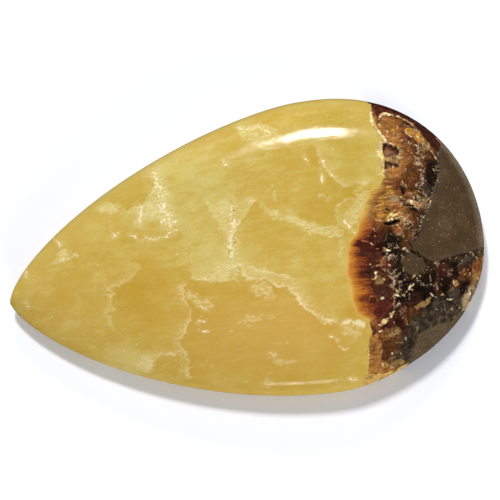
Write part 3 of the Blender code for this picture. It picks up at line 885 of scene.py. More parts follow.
def even_contour(shape, share, spacing):
    """The contour's points, evenly spaced along it and closer at the tip."""
    turns = np.linspace(0, 2 * np.pi, TURNS_TRIED)
    places = contour(shape, share, turns)
    steps = np.linalg.norm(np.diff(places, axis=0), axis=1)
    from_tip = np.linalg.norm(places[1:] - np.array((-shape.length / 2, 0.0)), axis=1)
    walked = np.append(0, np.cumsum(steps * (1 + TIP_DETAIL * np.exp(-from_tip / TIP_REACH))))
    count = max(FEWEST_POINTS, round(walked[-1] / spacing))
    even = np.interp(np.linspace(0, walked[-1], count, endpoint=False), walked, turns)
    return contour(shape, share, even)


def each_once(edges):
    """The edges in their order without repeats, so that every run gives the same mesh."""
    return list(dict.fromkeys(edges))


def add_ring(bm, points, height):
    """Adds the closed ring of edges at one level."""
    ring = bmesh.ops.create_circle(bm, segments=len(points), radius=1.0)["verts"]
    for vert, point in zip(ring, points):
        vert.co = (*point, height)
    return each_once(edge for vert in ring for edge in vert.link_edges)


def ring_levels(shape):
    """Contour share, height and spacing of every ring, from the middle of the back upwards."""
    back_step = 2 * shape.face / CORE_WIDTH
    shares = np.arange(back_step, BACK_LEVELS[0][0] - back_step / 2, back_step)
    levels = [(share, 0.0, 2 * shape.face) for share in shares]
    levels += [(share, height, shape.face) for share, height in BACK_LEVELS]
    wall_share, wall_foot = BACK_LEVELS[-1]
    wall_rings = round((shape.girdle - wall_foot) / shape.face)
    for climb in np.arange(1, wall_rings) / wall_rings:
        height = wall_foot + (shape.girdle - wall_foot) * climb
        levels.append((wall_share + (1 - wall_share) * climb, height, shape.face))
    crown_rings = round(CROWN_SLOPE / shape.face)
    for ring in range(crown_rings):
        climb = math.pi / 2 * ring / crown_rings
        share = math.cos(climb) ** (2 / SHOULDER)
        rise = (shape.height - shape.girdle) * math.sin(climb) ** (2 / BROW)
        levels.append((share, shape.girdle + rise, shape.face))
    return levels


def raise_rings(bm, shape):
    """Bridges ring to ring from the middle of the back to the top of the crown."""
    rings = []
    for share, height, spacing in ring_levels(shape):
        rings.append(add_ring(bm, even_contour(shape, share, spacing), height))
    for lower, upper in zip(rings, rings[1:]):
        bmesh.ops.bridge_loops(bm, edges=lower + upper)
    for ring in (rings[0], rings[-1]):
        cap = bmesh.ops.edgeloop_fill(bm, edges=ring)["faces"]
        bmesh.ops.poke(bm, faces=cap)
    bmesh.ops.recalc_face_normals(bm, faces=bm.faces)


def pattern_places(points, shape):
    """Places in the pattern, in millimetres, of points in the stone."""
    drop = (shape.height - points[:, 2:]) / MM
    return points[:, :2] / MM + DIP * drop


def to_outline(places, outline):
    """Signed distance to a closed outline, positive inside it."""
    corners = np.array(outline)
    nearest = np.full(len(places), np.inf)
    inside = np.zeros(len(places), bool)
    for start, end in zip(corners, np.roll(corners, -1, axis=0)):
        run = end - start
        share = np.clip((places - start) @ run / (run @ run), 0, 1)
        gap = np.linalg.norm(places - start - share[:, None] * run, axis=1)
        nearest = np.minimum(nearest, gap)
        if start[1] != end[1]:
            crossed = (start[1] > places[:, 1]) != (end[1] > places[:, 1])
            crossing = start[0] + (places[:, 1] - start[1]) * run[0] / run[1]
            inside ^= crossed & (places[:, 0] < crossing)
    return np.where(inside, nearest, -nearest)


def within(places, outlines):
    """Distance into whichever outline the place lies deepest in, negative outside them all."""
    return np.max([to_outline(places, outline) for outline in outlines.values()], axis=0)


def to_line(places, line):
    """Distance to an open line, positive on its right, and the fade at its ends."""
    corners = np.array(line)
    lengths = np.linalg.norm(np.diff(corners, axis=0), axis=1)
    walked = np.append(0, np.cumsum(lengths))
    nearest = np.full(len(places), np.inf)
    side, passed = np.zeros(len(places)), np.zeros(len(places))
    for start, end, before, length in zip(corners, corners[1:], walked, lengths):
        run = (end - start) / length
        away = places - start
        along = np.clip(away @ run, 0, length)
        gap = np.linalg.norm(away - along[:, None] * run, axis=1)
        lean = away @ np.array((run[1], -run[0]))
        level = (gap < nearest + LEVEL_GAP) & (np.abs(lean) > np.abs(side))
        closer = (gap < nearest - LEVEL_GAP) | level
        nearest = np.where(closer, gap, nearest)
        side = np.where(closer, lean, side)
        passed = np.where(closer, before + along, passed)
    fade = np.clip(np.minimum(passed, walked[-1] - passed) / TAPER, 0, 1)
    return np.sign(side) * nearest, fade * fade * (3 - 2 * fade)


def zone_sum(places, zones):
    """Sum of soft round zones."""
    total = np.zeros(len(places))
    for centre, radii, turn, value in zones:
        cosine, sine = math.cos(math.radians(turn)), math.sin(math.radians(turn))
        axes = np.array(((cosine, -sine), (sine, cosine)))
        away = (places - np.array(centre)) @ axes / np.array(radii)
        total += value * np.exp(-(away**2).sum(axis=1))
    return total


def veil_fields(places, veils):
    """Side of the strongest veil at each place, and how amber, pale and bright it makes it."""
    strongest = np.zeros(len(places))
    fields = {key: np.zeros(len(places)) for key in VEIL_FIELDS}
    for line, strength, amber_reach, pale_reach, brightness in veils.values():
        side, fade = to_line(places, line)
        amber = strength * fade * np.exp(-np.maximum(side, 0) / amber_reach)
        pale = strength * fade * np.exp(np.minimum(side, 0) / pale_reach)
        weight = np.where(side > 0, amber, pale)
        wins = weight > strongest
        strongest = np.where(wins, weight, strongest)
        for key, value in zip(VEIL_FIELDS, (side, amber, pale, brightness * fade)):
            fields[key] = np.where(wins, value, fields[key])
    return fields


def rough(points, spacing, seed=0.0):
    """Smooth noise of about -1 to 1 at points in millimetres."""
    shift = Vector((seed, 2.3 * seed, -1.7 * seed))
    return np.array([noise.noise(Vector(point) / spacing + shift) for point in points])


def sway(points, spacing, seeds, size):
    """A shift of the points that wanders smoothly, one axis for each seed."""
    return np.stack([rough(points, spacing, seed) for seed in seeds], axis=1) * size


def fleck_field(places):
    """Distance to the nearest white line as a share of its half-width."""
    nearest = np.full(len(places), FLECK_REACH)
    bent = places + sway(np.pad(places, ((0, 0), (0, 1))), 0.45, (5.0, 6.0), 0.22)
    for breadth, line in FLECKS.values():
        nearest = np.minimum(nearest, np.abs(to_line(bent, line)[0]) / breadth)
    return nearest


def store(mesh, name, values):
    """Keeps one number for every point of the mesh."""
    attribute = mesh.attributes.new(name, "FLOAT", "POINT")
    attribute.data.foreach_set("value", np.asarray(values, np.float32))


def store_colours(mesh, name, colours):
    """Keeps one colour for every point of the mesh."""
    attribute = mesh.attributes.new(name, "FLOAT_COLOR", "POINT")
    attribute.data.foreach_set("color", colours.ravel().astype(np.float32))


def refine(bm, wanted):
    """Halves the wanted faces."""
    edges = [edge for face, chosen in zip(bm.faces, wanted) if chosen for edge in face.edges]
    bmesh.ops.subdivide_edges(bm, edges=each_once(edges), cuts=1, use_grid_fill=True)
    bmesh.ops.triangulate(bm, faces=[face for face in bm.faces if len(face.verts) > 3])


def in_band(places):
    """Distance into the crystal band from the calcite, and distance into the mudstone."""
    return to_outline(places, CALCITE_EDGE + BEYOND_EDGE), within(places, MUDSTONE)


def scattered(points, gap, chooser):
    """Indices of points at least one gap apart."""
    kept = []
    for index in chooser.permutation(len(points))[:POINTS_TRIED]:
        apart = points[kept] - points[index]
        if len(kept) == 0 or (apart**2).sum(axis=1).min() > gap**2:
            kept.append(index)
    return np.array(kept)


def crystal_fields(points, seeds, radii, chooser):
    """Number of the crystal at each point, distance to its border and slope across it."""
    lean = chooser.normal(0.0, 1.0, seeds.shape)
    lean /= np.linalg.norm(lean, axis=1, keepdims=True)
    owner = np.empty(len(points), int)
    border, slope = np.empty(len(points)), np.empty(len(points))
    for first in range(0, len(points), POINTS_AT_ONCE):
        span = slice(first, first + POINTS_AT_ONCE)
        part = points[span]
        power = ((part[:, None, :] - seeds[None]) ** 2).sum(axis=2) - radii**2
        close = np.argpartition(power, NEIGHBOURS, axis=1)[:, :NEIGHBOURS]
        rank = np.take_along_axis(power, close, axis=1)
        order = np.argsort(rank, axis=1)
        close = np.take_along_axis(close, order, axis=1)
        rank = np.take_along_axis(rank, order, axis=1)
        own = close[:, 0]
        reach = np.full(len(part), 1.0)
        for other in range(1, NEIGHBOURS):
            between = np.linalg.norm(seeds[own] - seeds[close[:, other]], axis=1)
            gap = (rank[:, other] - rank[:, 0]) / (2 * np.maximum(between, LEAST_GAP))
            reach = np.minimum(reach, gap)
        owner[span] = own
        border[span] = reach
        across = ((part - seeds[own]) * lean[own]).sum(axis=1)
        slope[span] = np.clip(across / CRYSTAL_HALF, -1.0, 1.0)
    return owner, border, slope


def ground_colour(places):
    """Screen colour of the band before its marks."""
    total, weights = np.zeros((len(places), 3)), np.zeros((len(places), 1))
    for kind, spots in GROUND.items():
        for x, y, *own_reach in spots:
            reach = own_reach[0] if own_reach else SPOT_REACH
            away = ((places - (x, y)) ** 2).sum(axis=1, keepdims=True) / reach**2
            weight = (1 + away) ** -3.0
            total += weight * np.array(KINDS[kind]) / 255
            weights += weight
    return total / weights


def close_to(places, outline, margin):
    """Indices of the places within a margin of an outline's box."""
    corners = np.array(outline)
    inside = (places > corners.min(axis=0) - margin) & (places < corners.max(axis=0) + margin)
    return np.flatnonzero(inside.all(axis=1))


def paint_marks(paint, places, waves):
    """Paints the band's outlines and lines; returns how fully each place is covered."""
    covered = np.zeros(len(places))
    marks = [(kind, None, outline) for kind, outline in FILLS]
    marks += [(kind, breadth, line) for kind, breadth, lines in LINES for line in lines]
    for kind, breadth, shape in marks:
        near = close_to(places, shape, MARK_MARGIN)
        coarse, fine, grain = (wave[near] for wave in waves)
        if breadth is None:
            depth = to_outline(places[near], shape)
            depth += 0.10 * coarse + 0.10 * fine + 0.04 * grain
        else:
            side, fade = to_line(places[near], shape)
            tear = (0.6 * coarse + 1.2 * fine) * min(1.0, WHOLE_BREADTH / breadth)
            depth = breadth * (0.5 + 0.3 * fade + tear) - np.abs(side)
        mask = np.clip(depth / MARK_EDGE + 0.5, 0, 1)
        bright = 1 + 0.25 * coarse + 0.20 * fine + 0.15 * grain
        colour = np.array(KINDS[kind]) / 255 * bright[:, None]
        paint[near] += (colour - paint[near]) * mask[:, None]
        covered[near] = np.maximum(covered[near], mask)
    return covered


def dig_pits(paint, places, coarse, fine):
    """Colours the open pits, with painted shade round their floors; returns each place's depth in
    them.
    """
    depth = np.zeros(len(places))
    for deepest, outline in PITS.values():
        inward = to_outline(places, outline) + 0.03 * (fine + coarse)
        bowl = np.clip(inward / PIT_WALL, 0, 1)
        depth = np.maximum(depth, deepest * (1 - (1 - bowl) ** 2) * (1 + 0.18 * coarse))
        # Painted shade darkens the floor near the pit's edge.
        shade = 1 - 0.6 * np.exp(-((inward / PIT_SHADE) ** 2))
        light = shade * (1 + 0.2 * coarse + 0.15 * fine)
        floor = np.array(KINDS["pit_floor"]) / 255 * light[:, None]
        mask = np.clip(inward / PIT_EDGE + 0.5, 0, 1)[:, None]
        paint += (floor - paint) * mask
    return depth


def crushed_share(places):
    """How finely the crystals are crushed, most of all beside the mudstone."""
    rock = {name: MUDSTONE[name] for name in ("round_end", "island")}
    beside = np.exp(-((np.maximum(-within(places, rock), 0) / CRUSHED_REACH) ** 2))
    return np.clip(np.maximum(beside, zone_sum(places, CRUSHED)), 0, 1)


def grow_crystals(spots, chooser):
    """Scatters crystals; returns spots, and each spot's crystal, rim, level and lightness with
    painted shade.
    """
    chosen = scattered(spots, CRYSTAL_GAP, chooser)
    radii = chooser.uniform(0.0, CRYSTAL_ODDS, len(chosen))
    wobbly = spots + sway(spots, CRYSTAL_GAP, (1.0, 2.0, 3.0), CRYSTAL_WOBBLE)
    own, rim, slope = crystal_fields(wobbly, spots[chosen], radii, chooser)
    level = chooser.uniform(0.0, 1.0, len(chosen))[own] + 0.35 * slope
    # Lightness is each crystal's own random tone, with painted shading that lightens one side and
    # darkens the other.
    bright = np.exp(chooser.normal(0.0, 0.12, len(chosen)))[own] * (1 + 0.22 * slope)
    return chosen, own, rim, level, bright


def dress_band(mesh, points, places, normals, band, mudstone, shape):
    """Stores the band's fields and lowers its crystals and pits; returns the new points."""
    inside = np.flatnonzero((band > -BAND_REACH) & (mudstone < ROCK_REACH))
    spots, flat = points[inside] / MM, places[inside]
    chosen, own, rim, level, bright = grow_crystals(spots, np.random.default_rng(CRYSTAL_SEED))
    waves = [rough(spots, size, size) for size in WAVE_SIZES]
    coarse, fine, grain = waves

    whole = 1 - 0.75 * np.clip(zone_sum(flat, FAN + HEART), 0, 1)
    share = 0.40 * whole[:, None]
    paint = (1 - share) * ground_colour(flat) + share * ground_colour(flat[chosen])[own]
    # The crystals' lightness with its painted shading, where they are whole, and the waves' tone.
    paint *= (1 + (bright - 1) * whole + 0.10 * coarse + 0.06 * fine)[:, None]
    depth = dig_pits(paint, flat, coarse, fine)
    pit = np.clip(depth / PIT_FULL, 0, 1)
    covered = np.maximum(paint_marks(paint, flat, waves), pit)
    crushed = crushed_share(flat) * (1 - covered)
    rim = np.maximum(rim, WHOLE_RIM * covered)

    across, lengths, darkness = np.array(FIBRES).T
    row = flat[:, 1] + FIBRE_LEAN * (flat[:, 0] - FIBRE_START) + 0.10 * coarse + 0.05 * fine
    fibre = band[inside] / np.interp(row, across, lengths)
    solid = np.clip((fibre - 0.7) / 0.6, 0, 1)
    groove = 1 - np.clip(rim / GROOVE_WIDTH, 0, 1)
    sink = FACE_DROP * level * (1 - crushed) * whole + GROOVE_DEPTH * groove
    sink += crushed * (CRUSHED_DROP * (1 + grain) + 0.03 * coarse)
    sink = np.maximum(sink * solid, FIBRE_DROP * (1 + coarse)) * (1 - 0.6 * covered)
    fade = np.clip(np.minimum(band[inside], -mudstone[inside]) / BORDER_FADE, 0, 1)
    fade *= np.clip((spots[:, 2] - shape.girdle / MM) / GIRDLE_FADE, 0, 1)
    lowered = points.copy()
    lowered[inside] -= normals[inside] * ((sink + depth) * fade)[:, None] * MM

    for name, values, rest in (
        ("crystal_rim", rim, WHOLE_RIM), ("crushed", crushed, 0.0), ("fibre", fibre, 0.0),
        ("fibre_depth", np.interp(row, across, darkness), 1.0), ("covered", covered, 0.0),
        ("sparkle", zone_sum(flat, SPARKLE), 0.0), ("fan", zone_sum(flat, FAN), 0.0),
        ("pit", pit, 0.0),
    ):
        everywhere = np.full(len(points), rest)
        everywhere[inside] = values
        store(mesh, name, everywhere)
    everywhere = np.ones((len(points), 4))
    everywhere[inside, :3] = to_linear(np.clip(paint, 0, 1))
    store_colours(mesh, "paint", everywhere)
    return lowered


def refined_stone(shape):
    """The stone's mesh, finer in the band and along the white lines."""
    bm = bmesh.new()
    raise_rings(bm, shape)
    for margin in BAND_MARGINS[:shape.halvings]:
        middles = np.array([face.calc_center_median()[:] for face in bm.faces])
        flat = pattern_places(middles, shape)
        band, mudstone = in_band(flat)
        high = middles[:, 2] > shape.girdle / 3
        on_line = (fleck_field(flat) < FLECK_DETAIL) & (middles[:, 2] > shape.girdle)
        refine(bm, (band > -margin) & (mudstone < margin) & high | on_line)
    bm.normal_update()
    return bm


def model_stone(shape):
    """Builds the stone's mesh, with the pattern's fields on its points."""
    bm = refined_stone(shape)
    normals = np.array([vert.normal[:] for vert in bm.verts])
    points = np.array([vert.co[:] for vert in bm.verts])
    mesh = bpy.data.meshes.new("polished_stone")
    bm.to_mesh(mesh)
    bm.free()
    places = pattern_places(points, shape)
    band, mudstone = in_band(places)
    fields = {"band": band, "mudstone": mudstone, "fleck": fleck_field(places)}
    for name, zones in ZONES.items():
        fields[name] = zone_sum(places, zones)
    for name, veils in VEILS.items():
        for key, values in veil_fields(places, veils).items():
            fields[f"{name}_{key}"] = values
    for name, outlines in (("patch", PATCHES), ("block", BLOCKS)):
        fields[name] = np.maximum(within(places, outlines), OUTSIDE)
    for name, values in fields.items():
        store(mesh, name, values)
    lowered = dress_band(mesh, points, places, normals, band, mudstone, shape)
    mesh.vertices.foreach_set("co", lowered.ravel())
    mesh.shade_smooth()
    mesh.update()
    return place_object("polished_stone", mesh)


def place_object(name, data):
    """Adds an object to the scene."""
    made = bpy.data.objects.new(name, data)
    bpy.context.scene.collection.objects.link(made)
    return made


def rgba(colour):
    """A tint by its name, or three linear shares, as a socket wants them."""
    return (*(screen_colour(*TINTS[colour]) if isinstance(colour, str) else colour), 1.0)


class Sheet:
    """Adds nodes to one tree. A value is a number, a vector or another node's socket."""

    def __init__(self, tree):
        self.tree = tree

    def feed(self, socket, value):
        if isinstance(value, bpy.types.NodeSocket):
            self.tree.links.new(value, socket)
        else:
            socket.default_value = value

    def add(self, kind, inputs=(), **settings):
        node = self.tree.nodes.new("ShaderNode" + kind)
        row, column = divmod(len(self.tree.nodes), 12)
        node.location = (180 * column, -160 * row)
        for name, value in settings.items():
            setattr(node, name, value)
        for key, value in dict(inputs).items():
            self.feed(node.inputs[key], value)
        return node

    def math(self, operation, *values):
        return self.add("Math", enumerate(values), operation=operation).outputs[0]

    def plus(self, *values):
        return reduce(partial(self.math, "ADD"), values)

    def times(self, *values):
        return reduce(partial(self.math, "MULTIPLY"), values)

    def most(self, *values):
        return reduce(partial(self.math, "MAXIMUM"), values)

    def away(self, value, middle):
        return self.math("ABSOLUTE", self.math("SUBTRACT", value, middle))

    def scale(self, vector, factor):
        node = self.add("VectorMath", {0: vector, 1: (factor,) * 3}, operation="MULTIPLY")
        return node.outputs[0]

    def attribute(self, name, output="Fac"):
        return self.add("Attribute", attribute_name=name).outputs[output]

    def noise(self, place, scale, detail=3.0, roughness=0.6, distortion=0.0, output="Fac"):
        return self.add("TexNoise", {
            "Vector": place, "Scale": scale, "Detail": detail, "Roughness": roughness,
            "Distortion": distortion,
        }).outputs[output]

    def cells(self, place, scale):
        """Distance to the middle of the nearest random cell, and that cell's own number."""
        cells = self.add("TexVoronoi", {"Vector": place, "Scale": scale}).outputs
        own = self.add("SeparateColor", {"Color": cells["Color"]}).outputs
        return cells["Distance"], own["Red"]

    def spread(self, value, low, high, to_low=0.0, to_high=1.0, kind="LINEAR"):
        return self.add("MapRange", {
            "Value": value, "From Min": low, "From Max": high, "To Min": to_low,
            "To Max": to_high,
        }, interpolation_type=kind).outputs["Result"]

    def fall(self, value, low, high, top=1.0):
        """The top value up to the low end, falling to 0 at the high end."""
        return self.spread(value, low, high, top, 0.0)

    def sway(self, wave, size, reach=0.2):
        """A wave about 0.5, made into one about 0 that reaches the size either way."""
        return self.spread(wave, 0.5 - reach, 0.5 + reach, -size, size)

    def blend(self, share, first, second, kind="MIX"):
        node = self.add("Mix", data_type="RGBA", blend_type=kind, clamp_factor=True)
        self.feed(node.inputs[0], share)
        for place, colour in ((6, first), (7, second)):
            plain = not isinstance(colour, bpy.types.NodeSocket)
            self.feed(node.inputs[place], rgba(colour) if plain else colour)
        return node.outputs[2]

    def ramp(self, value, stops):
        node = self.add("ValToRGB", {"Fac": value})
        elements = node.color_ramp.elements
        while len(elements) < len(stops):
            elements.new(0.5)
        for element, (position, colour) in zip(elements, stops):
            element.position = position
            element.color = rgba(colour)
        return node.outputs["Color"]

    def axes(self, place):
        return self.add("SeparateXYZ", {"Vector": place}).outputs

    def turned(self, place, degrees, stretch):
        """The place turned about +Z and scaled along each axis."""
        return self.add("Mapping", {
            "Vector": place, "Rotation": (0.0, 0.0, math.radians(degrees)), "Scale": stretch,
        }).outputs["Vector"]

    def drawn(self, place, degrees, stretch, detail=3.0, roughness=0.6):
        """Noise drawn out along a slant."""
        return self.noise(self.turned(place, degrees, stretch), 1.0, detail, roughness)

    def group(self, tree, inputs):
        node = self.tree.nodes.new("ShaderNodeGroup")
        node.node_tree = tree
        for key, value in inputs.items():
            self.feed(node.inputs[key], value)
        return node.outputs


def new_group(name, inputs, outputs):
    """An empty shader group; returns its sheet, its input sockets and its output node."""
    tree = bpy.data.node_groups.new(name, "ShaderNodeTree")
    for direction, labels in (("INPUT", inputs), ("OUTPUT", outputs)):
        for label in labels:
            kind = "NodeSocketVector" if label in VECTORS else "NodeSocketFloat"
            tree.interface.new_socket(label, in_out=direction, socket_type=kind)
    entry = tree.nodes.new("NodeGroupInput")
    leave = tree.nodes.new("NodeGroupOutput")
    leave.location = (2400, 0)
    return Sheet(tree), entry.outputs, leave.inputs


def torn_veil():
    """A cleavage sheet: amber before its torn crest, pale behind it, painted shade at its foot."""
    sheet, given, leave = new_group(
        "torn_veil", ("Place", "Drawn", "Side", "Amber", "Pale", "Crest"), ("Tone", "White"),
    )
    lobes = sheet.sway(sheet.noise(given["Place"], 0.9), 0.35, 0.25)
    teeth = sheet.sway(sheet.noise(given["Drawn"], 2.2, 6.0, 0.75), 0.32, 0.25)
    side = sheet.plus(given["Side"], sheet.plus(lobes, teeth))
    before = sheet.spread(side, -0.06, 0.06, kind="SMOOTHSTEP")
    behind = sheet.math("SUBTRACT", 1.0, before)
    # Painted shade: a thin darker amber line just before the crest.
    foot = sheet.fall(sheet.away(side, 0.13), 0.0, 0.12, 0.16)
    amber = sheet.times(sheet.plus(sheet.times(before, 0.20), foot), given["Amber"])
    sheet.feed(leave["Tone"], sheet.plus(amber, sheet.times(behind, given["Pale"], -0.22)))
    patchy = sheet.spread(sheet.noise(given["Place"], 0.8, 4.0), 0.40, 0.58, 0.30, 1.0)
    edge = sheet.fall(sheet.away(side, -0.09), 0.04, 0.20, 0.95)
    comb = sheet.spread(sheet.noise(given["Drawn"], 5.0), 0.40, 0.62)
    mist = sheet.math("POWER", sheet.spread(side, -1.3, 0.0), 1.6)
    white = sheet.most(edge, sheet.times(mist, behind, comb, 0.85))
    sheet.feed(leave["White"], sheet.times(white, given["Crest"], patchy))
    return sheet.tree


def white_marks(sheet, place, comb):
    """White crushed lines with their frost, painted glints, and dark places in the crack."""
    width = sheet.attribute("fleck")
    splinter = sheet.spread(sheet.noise(place, 4.2, 4.0, 0.70), 0.3, 0.7, -1.1, 1.3)
    broken = sheet.fall(sheet.noise(place, 1.9), 0.40, 0.56, 1.2)
    fleck = sheet.fall(sheet.plus(width, splinter, broken), 0.20, 1.00)
    # Sparks: small painted glints, scattered at random.
    near_middle, chance = sheet.cells(place, 0.9)
    spark = sheet.times(sheet.fall(near_middle, 0.05, 0.10, 0.5), sheet.spread(chance, 0.45, 0.9))
    along = sheet.axes(place)["X"]
    dark = sheet.times(
        sheet.fall(width, 0.7, 1.1),
        sheet.spread(sheet.noise(place, 3.1, 2.0), 0.61, 0.66),
        sheet.fall(sheet.away(along, -0.9), 0.8, 1.4),
    )
    frost = sheet.times(sheet.fall(width, 0.5, 3.2, 0.55), comb)
    return sheet.most(fleck, spark), dark, frost


def calcite_colour(sheet, place, look):
    """The cloudy calcite: veils, patches, white lines, and painted shade and light at its rims."""
    drawn = sheet.turned(place, GRAIN_TURN, (0.6, 1.4, 1.0))
    grain = sheet.noise(place, 5.0, 3.0, 0.65)
    tones = [
        0.46, sheet.attribute("tone"),
        sheet.sway(sheet.noise(place, 0.35, 3.0, 0.5, 0.4), 0.16),
        sheet.sway(sheet.noise(drawn, 0.9, 5.0, 0.62), 0.22),
        sheet.sway(sheet.drawn(place, GRAIN_TURN, (1.2, 7.0, 2.0), 4.0, 0.65), 0.08),
        sheet.sway(grain, 0.12),
    ]
    whites = []
    veil = torn_veil()
    for name in VEILS:
        inputs = {key.capitalize(): sheet.attribute(f"{name}_{key}") for key in VEIL_FIELDS}
        outputs = sheet.group(veil, {"Place": place, "Drawn": drawn, **inputs})
        tones.append(outputs["Tone"])
        whites.append(outputs["White"])
    tear = sheet.sway(sheet.noise(drawn, 1.5, 5.0, 0.7), 0.5, 0.25)
    patch = sheet.spread(sheet.plus(sheet.attribute("patch"), tear), -0.05, 0.10)
    comb = sheet.spread(sheet.noise(drawn, 4.0, 4.0, 0.65), 0.40, 0.66)
    tone = sheet.plus(*tones, sheet.times(patch, -0.22))
    block = sheet.plus(sheet.attribute("block"), sheet.sway(grain, 0.1))
    blades = sheet.spread(sheet.drawn(place, GRAIN_TURN, (0.5, 8.0, 3.0)), 0.57, 0.74)
    sheaf = sheet.spread(sheet.noise(place, 0.6), 0.48, 0.62)
    fleck, dark, frost = white_marks(sheet, place, comb)
    white = sheet.most(
        *whites, frost, sheet.times(patch, comb, 0.62), sheet.times(blades, sheaf, 0.32),
        sheet.spread(block, -0.05, 0.07, 0.0, 0.9),
    )
    neutral = sheet.ramp(tone, ((0.0, look.pale), (0.5, look.honey), (1.0, look.amber)))
    warmth = sheet.attribute("warmth")
    colour = sheet.blend(sheet.spread(warmth, 0.0, 0.6, 0.0, 0.55), neutral, "warm")
    cooled = sheet.blend(1.0, neutral, "cool_cast", "MULTIPLY")
    colour = sheet.blend(sheet.spread(warmth, 0.0, -0.5), colour, cooled)
    colour = sheet.blend(sheet.times(white, 0.82), colour, "frost")
    colour = sheet.blend(dark, colour, "crack")
    # White crushed lines, with the sparks painted as glints.
    colour = sheet.blend(sheet.times(fleck, 0.85), colour, "white_and_glint")
    # Painted shade darkens the far side's shoulder; painted light pales the near side's a little.
    axes = sheet.axes(place)
    far = sheet.times(sheet.fall(axes["Z"], 1.6, 4.0, 0.6), sheet.spread(axes["Y"], 0.0, 4.0))
    near = sheet.times(sheet.fall(axes["Z"], 1.5, 2.5),
                       sheet.spread(axes["Y"], -5.0, -9.0, 0.0, 0.12))
    colour = sheet.blend(far, colour, "far_rim_shade")
    return sheet.blend(near, colour, "near_rim_light")


def crystal_colour(sheet, place, fan, covered):
    """The whole crystals: their paint, gaps, crumbs and pale splinters with a painted glint."""
    paint = sheet.attribute("paint", "Color")
    mottle = sheet.spread(sheet.noise(place, 4.5, 5.0, 0.68), 0.3, 0.7, 0.72, 1.28)
    glassy = sheet.spread(sheet.drawn(place, 22.0, (0.8, 4.0, 3.0), 5.0, 0.7), 0.3, 0.7)
    gap_tear = sheet.sway(sheet.noise(place, 7.0), 0.06)
    gap = sheet.times(
        sheet.fall(sheet.plus(sheet.attribute("crystal_rim"), gap_tear), 0.01, 0.06),
        sheet.spread(sheet.noise(place, 1.9), 0.42, 0.56),
        sheet.spread(fan, 0.0, 1.0, 1.0, 0.2),
    )
    paint = sheet.blend(1.0, paint, mottle, "MULTIPLY")
    paint = sheet.blend(1.0, paint, sheet.blend(glassy, DULL_GLASS, BRIGHT_GLASS), "MULTIPLY")
    paint = sheet.blend(gap, paint, "gap_cast", "MULTIPLY")
    light = sheet.add("SeparateColor", {"Color": paint}).outputs["Green"]
    crumbly = sheet.times(
        sheet.fall(sheet.noise(place, 7.5, 3.0, 0.7), 0.44, 0.52, 0.75),
        sheet.spread(light, 0.28, 0.48),
        sheet.spread(covered, 0.5, 1.0, 1.0, 0.5),
    )
    paint = sheet.blend(crumbly, paint, "crumbly")
    bend = sheet.scale(sheet.noise(place, 3.0, 4.0, 0.7, output="Color"), 1.1)
    bent = sheet.add("VectorMath", {0: place, 1: bend}, operation="ADD").outputs[0]
    web = sheet.add("TexVoronoi", {"Vector": bent, "Scale": 2.3}, feature="DISTANCE_TO_EDGE")
    # Pale splinters along a bent web, their colour partly a painted glint.
    clump = sheet.plus(sheet.noise(place, 1.7, 4.0, 0.65), sheet.attribute("sparkle"))
    splinter = sheet.times(
        sheet.fall(sheet.plus(web.outputs["Distance"], gap_tear), 0.02, 0.08, 0.85),
        sheet.spread(clump, 0.66, 0.72),
        sheet.spread(covered, 0.2, 0.8, 1.0, 0.15),
    )
    gleam = sheet.spread(sheet.noise(place, 3.1, 2.0, 0.5), 0.40, 0.60)
    paint = sheet.blend(splinter, paint, sheet.blend(gleam, "warm_gleam", "pale_gleam"))
    return paint, light, bent


def band_colour(sheet, place, look):
    """The crystals, the crushed rock between them and the fibres beside the calcite."""
    covered = sheet.attribute("covered")
    fan = sheet.spread(sheet.attribute("fan"), 0.25, 0.8)
    paint, light, bent = crystal_colour(sheet, place, fan, covered)
    lumps = sheet.sway(sheet.noise(place, 2.4), 0.16)
    chance = sheet.cells(bent, 6.5)[1]
    crumbs = sheet.plus(chance, lumps, sheet.spread(light, 0.0, 0.20, -0.04, 0.36))
    ragged = sheet.sway(sheet.noise(place, 1.6, 4.0, 0.65), 0.45)
    crush = sheet.times(
        sheet.spread(sheet.plus(sheet.attribute("crushed"), ragged), 0.35, 0.65),
        sheet.spread(covered, 0.3, 0.8, 0.9, 0.09),
    )
    crystals = sheet.blend(crush, paint, sheet.ramp(crumbs, CRUMBS))

    drawn = sheet.drawn(place, FAN_TURN, (0.7, 6.0, 3.0), 4.0, 0.62)
    hairs = sheet.drawn(place, FAN_TURN, (0.9, 15.0, 5.0))
    strands = sheet.blend(fan, sheet.drawn(place, 14.0, (0.7, 4.0, 2.0), 5.0, 0.68), drawn)
    along = sheet.attribute("fibre")
    shift = sheet.plus(sheet.sway(strands, 0.22), sheet.sway(sheet.noise(place, 1.3), 0.18))
    fibre = sheet.plus(along, sheet.times(shift, sheet.spread(along, 0.0, 0.5)))
    depth = sheet.attribute("fibre_depth")
    deep = sheet.ramp(sheet.times(fibre, depth), (
        (0.0, look.calcite_side), (0.20, look.amber), (0.55, look.rust), (0.95, look.burgundy),
    ))
    golden = sheet.ramp(fibre, GOLDEN_FIBRES)
    fibres = sheet.blend(sheet.spread(depth, 0.6, 0.9), golden, deep)
    whole = sheet.blend(sheet.spread(fibre, 0.85, 1.10), fibres, crystals)
    streaks = sheet.times(sheet.spread(drawn, 0.32, 0.68, 0.40, 1.55),
                          sheet.spread(hairs, 0.35, 0.65, 0.72, 1.28))
    return sheet.blend(fan, whole, sheet.blend(1.0, whole, streaks, "MULTIPLY")), crystals


